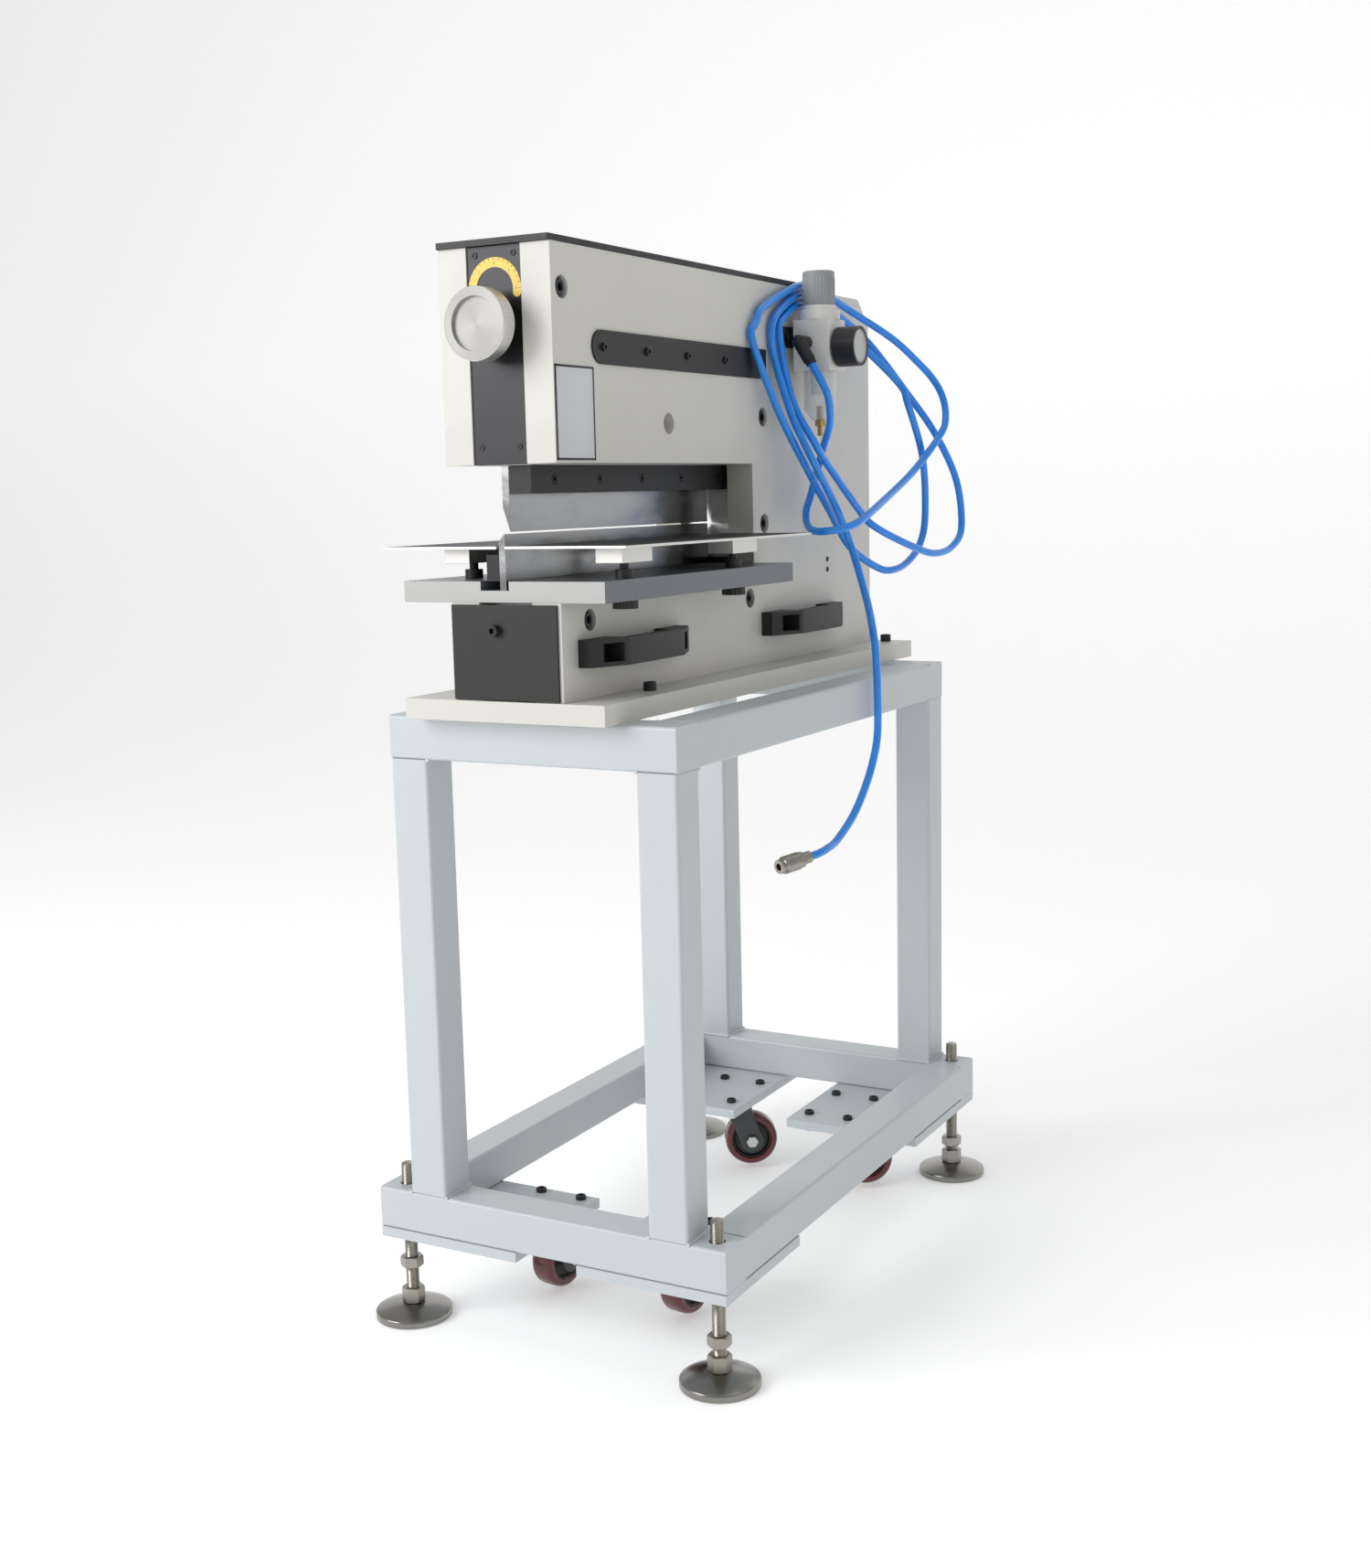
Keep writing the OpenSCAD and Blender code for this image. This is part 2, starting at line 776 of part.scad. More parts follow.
module upper_front_plate() {
    color("dimgray") translate([body_x, 0, 0])
        difference() {
            block([-half_gap, front_plate_y, arm_z], [half_gap, inner_front, body_top]);
            rod_y([0, front_plate_y - 1, spindle_h], spindle_d + 2 * run_fit, front_plate_t + 2);
        }
}

module lower_front_cover() {
    color("black") translate([body_x, 0, 0]) {
        difference() {
            block([-half_body + 1, body_front - cover_t, plate_z + 1],
                [half_body - 4, body_front, jaw_z - 2]);
            rod_y([cover_screw_x, body_front - cover_t - 1, jaw_z - cover_screw_drop], 8 + 2 * screw_fit,
                cover_t + 2);
        }
        // Spacer sleeve under the screw, up to the jaw block
        difference() {
            rod_y([cover_screw_x, body_front, jaw_z - cover_screw_drop], 14, 21);
            rod_y([cover_screw_x, body_front - 1, jaw_z - cover_screw_drop], 8 + 2 * screw_fit, 23);
        }
    }
}

module guide_bars() {
    color("black")
        for (side = [-1, 1])
            on_side(side)
                difference() {
                    profile_yz(half_body - bar_t + bar_proud, bar_t) guide_bar_outline(0);
                    for (i = [0:4])
                        rod_x([half_body + bar_proud - bar_t - 1, bar_screw_y(i), bar_z],
                            6 + 2 * screw_fit, bar_t + 2);
                }
}

function bar_screw_y(i) = bar_y + 22 + i * bar_screw_pitch;

// Bridge handle: slanted ends with a recess for the fixing screws
module carry_handle() {
    difference() {
        linear_extrude(handle_h, center = true) difference() {
            polygon([
                [0, 0], [15, 0], [handle_reach, 50],
                [handle_reach, handle_l - 50], [15, handle_l], [0, handle_l]
            ]);
            translate([-1, handle_foot_l])
                square([handle_reach - grip_t + 1, handle_l - 2 * handle_foot_l]);
        }
        for (y = handle_screw_ys) {
            translate([handle_floor, y - handle_recess_l / 2, -handle_recess_h / 2])
                cube([handle_reach, handle_recess_l, handle_recess_h]);
            rod_x([-1, y, 0], 8 + 2 * screw_fit, handle_floor + 2);
        }
    }
}

module carry_handles() {
    color("black")
        for (side = [-1, 1], y = handle_ys)
            on_side(side) translate([half_body, y, handle_z]) carry_handle();
}

module body_screws() {
    head_h = 12;
    color("black") {
        for (side = [-1, 1]) on_side(side) {
            for (p = body_screw_at)
                translate([half_body - counterbore_h + head_h, p[0], p[1]])
                    rotate([0, 90, 0]) cap_screw(body_screw_d, head_h, side_t - counterbore_h + 16);
            for (i = [0:4])
                translate([half_body + bar_proud + 3, bar_screw_y(i), bar_z])
                    rotate([0, 90, 0]) cap_screw(6, 3, bar_t);
            for (y = handle_ys, s = handle_screw_ys)
                translate([half_body + 14, y + s, handle_z])
                    rotate([0, 90, 0]) cap_screw(8, 6, 8);
        }
        for (p = base_bolts)
            translate([p[0], p[1], plate_z + 6]) cap_screw(10, 6, base_plate_t);
        translate([body_x + cover_screw_x, body_front - cover_t - 5, jaw_z - cover_screw_drop])
            rotate([90, 0, 0]) cap_screw(8, 5, 20);
    }
}

// ---- Platform, tables and lower blade ----

module platform() {
    x0 = base_plate_x - base_plate_w / 2 + 1;
    color("slategray")
        difference() {
            block([x0, body_front + 1, jaw_z], [x0 + base_plate_w, column_y, platform_z]);
            block([body_x - groove_w + 4, body_front, platform_z - groove_depth],
                [body_x + 4, column_y + 1, platform_z + 1]);
            for (x = jack_xs, y = jack_ys)
                rod_z([body_x + x, y, jaw_z - 1], shank_d + 2 * run_fit, platform_t + 2);
        }
}

module lower_blade() {
    z0 = platform_z - groove_depth;
    color("silver") translate([body_x, 0, 0])
        profile_xz(body_front + 3, blade_l + 12) polygon([
            [-lower_blade_t, z0], [0, z0], [0, lower_edge_z], [-edge_w, lower_edge_z],
            [-lower_blade_t, lower_edge_z - lower_bevel_h]
        ]);
}

module lower_blade_clamp() {
    x1 = -lower_blade_t;
    x0 = x1 - clamp_w;
    color("dimgray") translate([body_x, 0, 0]) {
        union() {
            block([x0, body_front + 3, platform_z], [x1, beam_rear, platform_z + clamp_h]);
            for (i = [0:4])
                block([x0 + 2, body_front + 25 + i * blade_screw_pitch, platform_z - groove_depth],
                    [x1 - 2, body_front + 45 + i * blade_screw_pitch, platform_z + 1]);
        }
        // Clamp screws
        for (i = [0:4])
            rod_x([x0 - 5, body_front + 35 + i * blade_screw_pitch, platform_z + clamp_h / 2], 12, 5);
    }
}

module table(side) {
    x0 = side > 0 ? table_gap : -lower_blade_t - table_gap - 0.5 - table_w;
    jack_x = side > 0 ? jack_xs[1] : jack_xs[0];
    color("silver") translate([body_x, 0, 0])
        difference() {
            union() {
                block([x0, body_front, table_z - table_t], [x0 + table_w, column_y - 2, table_z]);
                for (y = jack_ys)
                    block([jack_x - block_w / 2, y - block_l / 2, block_z],
                        [jack_x + block_w / 2, y + block_l / 2, table_z - table_t]);
            }
            for (y = jack_ys)
                rod_z([jack_x, y, block_z - 1], jack_thread_d + 2 * run_fit, block_h + 1);
        }
}

module left_table() {
    table(-1);
}

module right_table() {
    table(1);
}

// Jack: hand wheel under the platform, shank, collar and thread
module jack(x, y) {
    head_top = jaw_z - slide_fit;
    collar_z = platform_z + slide_fit;
    thread_top = block_z + block_h / 2 + 2;
    color("black") translate([body_x + x, y, 0])
        union() {
            difference() {
                rod_z([0, 0, head_top - jack_head_h], jack_head_d, jack_head_h);
                for (a = [0:30:330])
                    rotate([0, 0, a])
                        rod_z([jack_head_d / 2 + 1, 0, head_top - jack_head_h - 1], 4, jack_head_h - 1);
            }
            rod_z([0, 0, head_top - 1], shank_d, collar_z - head_top + 2);
            rod_z([0, 0, collar_z], collar_d, collar_h);
            rod_z([0, 0, collar_z], jack_thread_d, thread_top - collar_z);
        }
}

// ---- Blade drive ----

module blade_beam() {
    y0 = inner_front + slide_fit;
    y1 = beam_rear;
    z_front = wedge_top - wedge_front_h - slide_fit;
    color("gray") translate([body_x, 0, 0])
        profile_yz(-half_gap + slide_fit, gap_w - 2 * slide_fit) polygon([
            [y0, holder_top], [y1, holder_top],
            [y1, z_front - wedge_slope * (y1 - wedge_front)],
            [y0, z_front - wedge_slope * (y0 - wedge_front)]
        ]);
}

module blade_holder() {
    color("black") translate([body_x, 0, 0]) {
        difference() {
            block([0, blade_front, holder_top - holder_h], [holder_w, beam_rear, holder_top]);
            for (i = [0:4])
                rod_x([holder_w - 4, blade_screw_y(i), holder_top - holder_h / 2], 11, 5);
        }
        // Screws
        for (i = [0:4])
            translate([holder_w, blade_screw_y(i), holder_top - holder_h / 2])
                rotate([0, 90, 0]) cap_screw(6, 4, 0);
    }
}

function blade_screw_y(i) = blade_front + blade_screw_front + i * blade_screw_pitch;

module upper_blade() {
    z0 = upper_edge_z;
    color("silver") translate([body_x, 0, 0])
        profile_xz(blade_front, blade_l) polygon([
            [-upper_blade_t, holder_top], [0, holder_top], [0, z0], [-edge_w, z0],
            [-upper_blade_t, z0 + upper_bevel_h]
        ]);
}

module wedge() {
    y0 = wedge_front;
    y1 = wedge_front + wedge_l;
    color("darkgray") translate([body_x, 0, 0])
        profile_yz(-wedge_w / 2, wedge_w) polygon([
            [y0, wedge_top - wedge_front_h],
            [y1, wedge_top - wedge_front_h - wedge_slope * wedge_l],
            [y1, wedge_top], [y0, wedge_top]
        ]);
}

module piston_rod() {
    y0 = wedge_front + wedge_l;
    color("silver") translate([body_x, 0, 0]) union() {
        rod_y([0, y0, rod_z0], rod_d, cylinder_y + 30 - y0);
        rod_y([0, y0, rod_z0], 34, 14);
        rod_y([0, cylinder_y + 30, rod_z0], 50, 12);
    }
}

module air_cylinder() {
    bore_y = cylinder_y + 10;
    color("silver") translate([body_x, 0, 0])
        difference() {
            block([-cylinder_w / 2, cylinder_y, rod_z0 - 30],
                [cylinder_w / 2, cylinder_y + cylinder_l, rod_z0 + 30]);
            rod_y([0, bore_y - 5, rod_z0], 50 + 2 * run_fit, cylinder_l - 20);
            rod_y([0, cylinder_y - 1, rod_z0], rod_d + 2 * run_fit, 30);
        }
}

// ---- Controls ----

module stroke_knob() {
    color("silver") translate([body_x, 0, spindle_h]) union() {
        rotate([-90, 0, 0]) translate([0, 0, stroke_y])
            rotate_extrude() polygon([
                [0, 4], [knob_d / 2 - 10, 4], [knob_d / 2 - 10, 0], [knob_d / 2 - 1, 0],
                [knob_d / 2, 1], [knob_d / 2, knob_t - 1], [knob_d / 2 - 1, knob_t], [0, knob_t]
            ]);
        rod_y([0, stroke_y + knob_t - 1, 0], spindle_d + 10, knob_reach - knob_t + 0.9 - slide_fit);
        rod_y([0, stroke_y + knob_t - 1, 0], spindle_d, spindle_end - stroke_y - knob_t + 1);
    }
}

module labels() {
    dial_z = body_top - 45;
    // Dial band on the front plate
    color("gold") translate([body_x, 0, dial_z])
        profile_xz(front_plate_y - 0.6, 0.6) intersection() {
            difference() {
                circle(dial_r);
                circle(dial_r - dial_w);
            }
            translate([-dial_r, 0]) square([2 * dial_r, dial_r]);
        }
    // Blank rating plate on the right side plate
    color("silver")
        on_side(1)
            block([half_body, body_front + 2, arm_z + 3], [half_body + 1, body_front + 79, arm_z + 101]);
}

// ---- Air service unit ----

module regulator_bracket() {
    color("black") on_side(1)
        union() {
            block([half_body, reg_cy - 43, reg_top - 34], [half_body + 4, reg_cy + 35, reg_top - 8]);
            block([half_body, reg_cy - 20, reg_top - 34], [half_body + reg_gap, reg_cy + 20, reg_top - 8]);
            for (y = [reg_cy - 33, reg_cy + 30])
                rod_x([half_body + 3, y, reg_top - 21], 8, 4);
        }
}

module regulator_body() {
    x0 = half_body + reg_gap;
    color("whitesmoke") on_side(1)
        difference() {
            union() {
                block([x0, reg_cy - reg_w / 2, reg_bottom], [x0 + reg_w, reg_cy + reg_w / 2, reg_top]);
                rod_z([reg_x, reg_cy, reg_top], reg_w + 4, flange_h);
                rod_z([reg_x, reg_cy, reg_top + flange_h], reg_knob_d + 2, neck_h);
            }
            rod_z([reg_x, reg_cy, reg_top + 8], 12 + 2 * run_fit, flange_h + neck_h);
            rod_y([elbow_x, reg_cy - reg_w / 2 - 1, elbow_z], 10, 13);
            rod_x([x0 + reg_w - 12, reg_cy, gauge_z], 10, 13);
            rod_z([reg_x, reg_cy, reg_bottom - 1], 34, 10);
        }
}

module filter_bowl() {
    z1 = reg_bottom;
    color("lightcyan") on_side(1) translate([reg_x, reg_cy, 0])
        difference() {
            union() {
                rod_z([0, 0, z1 - bowl_h + 14], bowl_d, bowl_h - 14);
                translate([0, 0, z1 - bowl_h])
                    cylinder(d1 = bowl_d - 22, d2 = bowl_d, h = 14);
            }
            rod_z([0, 0, z1 - bowl_h + 14], bowl_d - 2 * bowl_wall, bowl_h);
            rod_z([0, 0, z1 - bowl_h - 1], drain_d + 2 * run_fit, 20);
        }
}

module filter_element() {
    color("white") on_side(1) translate([reg_x, reg_cy, 0]) union() {
        rod_z([0, 0, reg_bottom - 30], 24, 30);
        rod_z([0, 0, reg_bottom - 30], 10, 39);
    }
}

module regulator_knob() {
    color("darkgray") on_side(1) translate([reg_x, reg_cy, 0]) union() {
        rod_z([0, 0, knob_bottom + slide_fit], reg_knob_d, reg_knob_h);
        rod_z([0, 0, knob_bottom - 9], 12, 10);
    }
}

module drain_valve() {
    z1 = reg_bottom - bowl_h;
    color("goldenrod") on_side(1) translate([reg_x, reg_cy, 0]) union() {
        rod_z([0, 0, z1 - 2], drain_d, 20);
        translate([0, 0, z1 - 8]) cylinder(d = 15, h = 7.8, $fn = 6);
        rod_z([0, 0, z1 - 20], 7, 13);
    }
}

module gauge_case() {
    color("black") on_side(1) translate([0, reg_cy, gauge_z]) {
        // Case
        difference() {
            union() {
                rod_x([gauge_x, 0, 0], gauge_d, gauge_t);
                rod_x([gauge_x - gauge_stem, 0, 0], 16, gauge_stem + 1);
            }
            rod_x([gauge_x + gauge_t - 9, 0, 0], gauge_d - 8, 10);
            rod_x([gauge_x + gauge_t - 13, 0, 0], needle_shaft_d + 2 * run_fit, 5);
        }
        // Glass
        color("white") rod_x([gauge_x + gauge_t - 3, 0, 0], gauge_d - 8, 2);
    }
}

module gauge_needle() {
    face_x = gauge_x + gauge_t - 9;
    color("firebrick") on_side(1) translate([0, reg_cy, gauge_z]) rotate([135, 0, 0]) union() {
        block([face_x + 2, -0.8, -6], [face_x + 3, 0.8, gauge_d / 2 - 8]);
        rod_x([face_x - 3, 0, 0], needle_shaft_d, 6.5);
    }
}

module elbow_fitting() {
    color("black") on_side(1) translate([elbow_x, reg_cy - reg_w / 2, elbow_z]) union() {
        rod_y([0, -elbow_reach, 0], elbow_d, elbow_reach);
        rod_y([0, -1, 0], 10, 10);
        translate([0, -elbow_reach, 0]) sphere(d = elbow_d + 1);
        translate([0, -elbow_reach, 0]) rotate([0, 180 - elbow_tilt, 0]) {
            cylinder(d = elbow_d, h = elbow_leg - ring_h);
            cylinder(d = elbow_d - 2, h = elbow_leg);
        }
    }
}

// Frames along the hose: tangents, and one normal carried from ring to ring

function unit(v) = v / norm(v);

function tangent(i) =
    i == 0 ? unit(hose_points[1] - hose_points[0]) :
    i == hose_n - 1 ? unit(hose_points[i] - hose_points[i - 1]) :
    unit(unit(hose_points[i + 1] - hose_points[i]) + unit(hose_points[i] - hose_points[i - 1]));

function carried(n, t) = unit(n - (n * t) * t);

hose_normals = [
    for (i = 0, n = carried([0, 1, 0], tangent(0)); i < hose_n;
        i = i + 1, n = i < hose_n ? carried(n, tangent(i)) : n) n
];

module air_hose() {
    rings = [
        for (i = [0:hose_n - 1], k = [0:hose_sides - 1])
            let (n = hose_normals[i], b = cross(tangent(i), n), a = 360 * k / hose_sides)
                hose_points[i] + hose_d / 2 * (cos(a) * n + sin(a) * b)
    ];
    sides = [
        for (i = [0:hose_n - 2], k = [0:hose_sides - 1])
            let (a = i * hose_sides + k, b = i * hose_sides + (k + 1) % hose_sides)
                [a, a + hose_sides, b + hose_sides, b]
    ];
    last = (hose_n - 1) * hose_sides;
    ends = [
        [for (k = [0:hose_sides - 1]) k],
        [for (k = [hose_sides - 1:-1:0]) last + k]
    ];
    color("dodgerblue") polyhedron(points = rings, faces = concat(sides, ends));
}

// Points +Z along the hose's last stretch
module at_hose_end() {
    d = tangent(hose_n - 1);
    translate(hose_points[hose_n - 1]) rotate([0, acos(d[2]), atan2(d[1], d[0])]) children();
}

module hose_coupler() {
    color("silver") at_hose_end()
        difference() {
            union() {
                cylinder(d = hose_d + 5, h = 12);
                translate([0, 0, 10]) hexagon(17, 10);
                translate([0, 0, 19]) cylinder(d = 22, h = 24);
                translate([0, 0, 42]) cylinder(d = 18, h = coupler_l - 42);
            }
            translate([0, 0, coupler_l - 12]) cylinder(d = 9, h = 13);
        }
}

placed() stand_legs();
placed() top_rails();
placed() base_rails();
placed() caster_plates();
placed() caster_bolts();
placed() caster_heads();
placed() foot_pad(0);  // foot_pad_fl
placed() foot_pad(1);  // foot_pad_fr
placed() foot_pad(2);  // foot_pad_rl
placed() foot_pad(3);  // foot_pad_rr
placed() foot_stud(0);  // foot_stud_fl
placed() foot_stud(1);  // foot_stud_fr
placed() foot_stud(2);  // foot_stud_rl
placed() foot_stud(3);  // foot_stud_rr
placed() caster_fork(0);  // caster_fork_fl
placed() caster_fork(1);  // caster_fork_fr
placed() caster_fork(2);  // caster_fork_rl
placed() caster_fork(3);  // caster_fork_rr
placed() caster_wheel(0);  // caster_wheel_fl
placed() caster_wheel(1);  // caster_wheel_fr
placed() caster_wheel(2);  // caster_wheel_rl
placed() caster_wheel(3);  // caster_wheel_rr
placed() base_plate();
placed() left_side_plate();
placed() right_side_plate();
placed() spacer_blocks();
placed() top_cap();
placed() upper_front_plate();
placed() lower_front_cover();
placed() guide_bars();
placed() carry_handles();
placed() body_screws();
placed() platform();
placed() lower_blade();
placed() lower_blade_clamp();
placed() left_table();
placed() right_table();
placed() jack(jack_xs[0], jack_ys[0]);  // jack_lf
placed() jack(jack_xs[0], jack_ys[1]);  // jack_lr
placed() jack(jack_xs[1], jack_ys[0]);  // jack_rf
placed() jack(jack_xs[1], jack_ys[1]);  // jack_rr
placed() blade_beam();
placed() blade_holder();
placed() upper_blade();
placed() wedge();
placed() piston_rod();
placed() air_cylinder();
placed() stroke_knob();
placed() labels();
placed() regulator_bracket();
placed() regulator_body();
placed() filter_bowl();
placed() filter_element();
placed() regulator_knob();
placed() drain_valve();
placed() gauge_case();
placed() gauge_needle();
placed() elbow_fitting();
placed() air_hose();
placed() hose_coupler();
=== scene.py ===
"""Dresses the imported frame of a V-groove board separator: finishes, details, air hose and stage."""
import json
import math
from math import cos, pi, radians, sin, tau

import bmesh
import bpy
from bpy.props import FloatProperty, FloatVectorProperty, IntProperty, PointerProperty
from mathutils import Matrix, Vector


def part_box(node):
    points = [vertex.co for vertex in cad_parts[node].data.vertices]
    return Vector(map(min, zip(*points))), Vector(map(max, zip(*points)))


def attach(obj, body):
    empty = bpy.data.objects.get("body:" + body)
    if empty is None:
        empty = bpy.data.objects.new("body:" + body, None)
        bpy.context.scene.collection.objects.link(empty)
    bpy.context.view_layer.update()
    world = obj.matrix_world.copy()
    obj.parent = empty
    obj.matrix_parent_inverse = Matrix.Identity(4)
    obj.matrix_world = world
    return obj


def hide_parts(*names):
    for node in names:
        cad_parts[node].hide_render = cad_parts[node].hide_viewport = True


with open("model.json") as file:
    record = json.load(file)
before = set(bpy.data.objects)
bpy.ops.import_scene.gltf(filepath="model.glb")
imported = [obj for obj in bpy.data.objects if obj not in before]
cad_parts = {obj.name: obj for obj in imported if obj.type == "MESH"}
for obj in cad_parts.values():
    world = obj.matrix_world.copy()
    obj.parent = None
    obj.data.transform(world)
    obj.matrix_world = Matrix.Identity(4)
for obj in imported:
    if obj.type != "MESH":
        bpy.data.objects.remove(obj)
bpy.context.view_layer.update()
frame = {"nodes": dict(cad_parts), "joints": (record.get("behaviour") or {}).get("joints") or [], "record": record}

bl_info = {
    "name": "Board separator",
    "version": (1, 0, 0),
    "blender": (4, 5, 0),
    "location": "View3D > Sidebar > Separator",
    "description": "Builds the finished look of a pneumatic V-groove board separator on its stand",
    "category": "Object",
}

NODE_BODY = {
    node: body
    for body, nodes in frame["record"]["behaviour"]["bodies"].items()
    for node in nodes
}
MAIN_BODY = "stand_and_body"
CORNERS = ("fl", "fr", "rl", "rr")
JOINTS = {joint["name"]: joint for joint in frame["joints"]}
MM = 0.001


# ---------------------------------------------------------------- shader tools


class Value:
    """A number in a material; Python's operators on it add Math nodes."""

    def __init__(self, finish, socket):
        self.finish = finish
        self.socket = socket

    def _math(self, operation, left, right=None, clamp=False):
        node = self.finish.add("ShaderNodeMath", {"operation": operation, "use_clamp": clamp})
        for index, term in enumerate((left, right)):
            if term is not None:
                self.finish.put(node.inputs[index], term)
        return Value(self.finish, node.outputs[0])

    def __add__(self, other):
        return self._math("ADD", self, other)

    def __radd__(self, other):
        return self._math("ADD", other, self)

    def __sub__(self, other):
        return self._math("SUBTRACT", self, other)

    def __rsub__(self, other):
        return self._math("SUBTRACT", other, self)

    def __mul__(self, other):
        return self._math("MULTIPLY", self, other)

    def __rmul__(self, other):
        return self._math("MULTIPLY", other, self)

    def __truediv__(self, other):
        return self._math("DIVIDE", self, other)

    def __pow__(self, other):
        return self._math("POWER", self, other)

    def over(self, edge, softness):
        """0 below the edge and 1 above it, over a soft step."""
        return ((self - edge) / softness).clamped()

    def clamped(self):
        return self._math("ADD", self, 0.0, clamp=True)

    def sine(self):
        return self._math("SINE", self)


class Finish:
    """One material's node tree, ending in a Principled shader."""

    def __init__(self, name):
        self.material = bpy.data.materials.new(name)
        self.material.use_nodes = True
        self.tree = self.material.node_tree
        self.tree.nodes.clear()
        self.output = self.add("ShaderNodeOutputMaterial")
        self.shader = self.add("ShaderNodeBsdfPrincipled")
        self.link(self.shader.outputs[0], self.output.inputs["Surface"])
        self.coordinates = None

    def link(self, source, target):
        self.tree.links.new(source, target)

    def put(self, target, value):
        if isinstance(value, Value):
            self.link(value.socket, target)
        elif isinstance(value, bpy.types.NodeSocket):
            self.link(value, target)
        else:
            target.default_value = value

    def add(self, kind, settings=None, **inputs):
        """Adds a node: its settings first, then the values or links of its sockets."""
        node = self.tree.nodes.new(kind)
        for key, value in (settings or {}).items():
            if key == "stops":
                ramp = node.color_ramp
                while len(ramp.elements) > len(value):
                    ramp.elements.remove(ramp.elements[-1])
                while len(ramp.elements) < len(value):
                    ramp.elements.new(0.5)
                for element, (position, colour) in zip(ramp.elements, value):
                    element.position = position
                    element.color = (*colour, 1.0)
            else:
                setattr(node, key, value)
        for key, value in inputs.items():
            self.put(node.inputs[key.replace("_", " ")], value)
        return node

    def place(self):
        """Object coordinates, in metres."""
        if self.coordinates is None:
            self.coordinates = self.add("ShaderNodeTexCoord").outputs["Object"]
        return self.coordinates

    def scaled_place(self, scale, centre=(0, 0, 0)):
        moved = self.add("ShaderNodeVectorMath", {"operation": "SUBTRACT"})
        self.put(moved.inputs[0], self.place())
        moved.inputs[1].default_value = centre
        node = self.add("ShaderNodeVectorMath", {"operation": "MULTIPLY"})
        self.put(node.inputs[0], moved.outputs[0])
        node.inputs[1].default_value = scale
        return node.outputs[0]

    def axes(self, vector):
        node = self.add("ShaderNodeSeparateXYZ", None, Vector=vector)
        return [Value(self, socket) for socket in node.outputs]

    def noise(self, scale, detail=3.0, roughness=0.5, place=None):
        node = self.add("ShaderNodeTexNoise", None, Vector=place or self.place(),
                        Scale=scale, Detail=detail, Roughness=roughness)
        return Value(self, node.outputs["Fac"])

    def angle(self, u, v):
        """The turn from u towards v, in radians."""
        node = self.add("ShaderNodeMath", {"operation": "ARCTAN2"})
        self.put(node.inputs[0], v)
        self.put(node.inputs[1], u)
        return Value(self, node.outputs[0])

    def mix(self, factor, first, second):
        """Colour between two colours."""
        node = self.add("ShaderNodeMix", {"data_type": "RGBA"})
        self.put(node.inputs[0], factor)
        for index, colour in ((6, first), (7, second)):
            if isinstance(colour, tuple):
                colour = (*colour[:3], 1.0)
            self.put(node.inputs[index], colour)
        return node.outputs[2]

    def bump(self, height, strength, distance, normal=None):
        node = self.add("ShaderNodeBump", None, Height=height, Strength=strength, Distance=distance)
        if normal is not None:
            self.put(node.inputs["Normal"], normal)
        return node.outputs[0]

    def paint(self, **sockets):
        for key, value in sockets.items():
            socket = self.shader.inputs[key.replace("_", " ")]
            if socket.type == "RGBA" and isinstance(value, tuple):
                value = (*value[:3], 1.0)
            self.put(socket, value)
        return self.material


def shade(colour, factor):
    return tuple(channel * factor for channel in colour[:3])


FINISHES = {}


def finish_named(name, make, *values):
    """Each finish is made once and shared by the pieces that wear it."""
    if name not in FINISHES:
        FINISHES[name] = make(Finish(name), *values)
    return FINISHES[name]


def sprayed_paint(finish, colour, gloss):
    """Sprayed paint: a fine orange peel, faint clouds of colour and dusty patches."""
    clouds = finish.noise(2.6, 4.0, 0.6)
    peel = finish.noise(420.0, 2.0)
    grime = finish.noise(14.0, 6.0, 0.7).over(0.56, 0.3)
    tone = finish.mix(clouds, shade(colour, 0.94), shade(colour, 1.05))
    tone = finish.mix(grime * 0.16, tone, shade(colour, 0.72))
    return finish.paint(
        Base_Color=tone,
        Roughness=gloss + finish.noise(60.0, 3.0) * 0.14 - 0.05,
        Normal=finish.bump(peel, 0.22, 0.00012),
        Coat_Weight=0.12,
    )


def satin_black(finish, colour, gloss):
    """Black oxide or anodised metal with a fine grain and paler handled patches."""
    grain = finish.noise(900.0, 2.0)
    wear = finish.noise(11.0, 6.0, 0.65).over(0.55, 0.3)
    tone = finish.mix(wear * 0.5, colour, shade(colour, 2.0))
    return finish.paint(
        Base_Color=tone,
        Metallic=0.15,
        Roughness=gloss + grain * 0.12 + wear * 0.1,
        Normal=finish.bump(grain, 0.25, 0.00008),
    )


def moulded_plastic(finish, colour, gloss):
    """Moulded plastic with a spark-eroded grain."""
    grain = finish.noise(1300.0, 3.0, 0.6)
    tone = finish.mix(finish.noise(30.0, 4.0), shade(colour, 0.85), shade(colour, 1.2))
    return finish.paint(
        Base_Color=tone,
        Roughness=gloss + grain * 0.14,
        Normal=finish.bump(grain, 0.35, 0.0001),
    )


def drawn_metal(finish, colour, gloss, along):
    """Ground or drawn metal: fine lines along one axis, over soft stains."""
    stretch = {"X": (12.0, 900.0, 900.0), "Y": (900.0, 12.0, 900.0), "Z": (900.0, 900.0, 12.0)}
    lines = finish.noise(1.0, 4.0, 0.6, finish.scaled_place(stretch[along]))
    stains = finish.noise(9.0, 5.0, 0.6)
    tone = finish.mix(lines * 0.45 + stains * 0.4, shade(colour, 0.72), shade(colour, 1.16))
    return finish.paint(
        Base_Color=tone,
        Metallic=1.0,
        Roughness=gloss + lines * 0.14 + stains * 0.1 - 0.08,
        Normal=finish.bump(lines, 0.18, 0.00006),
    )


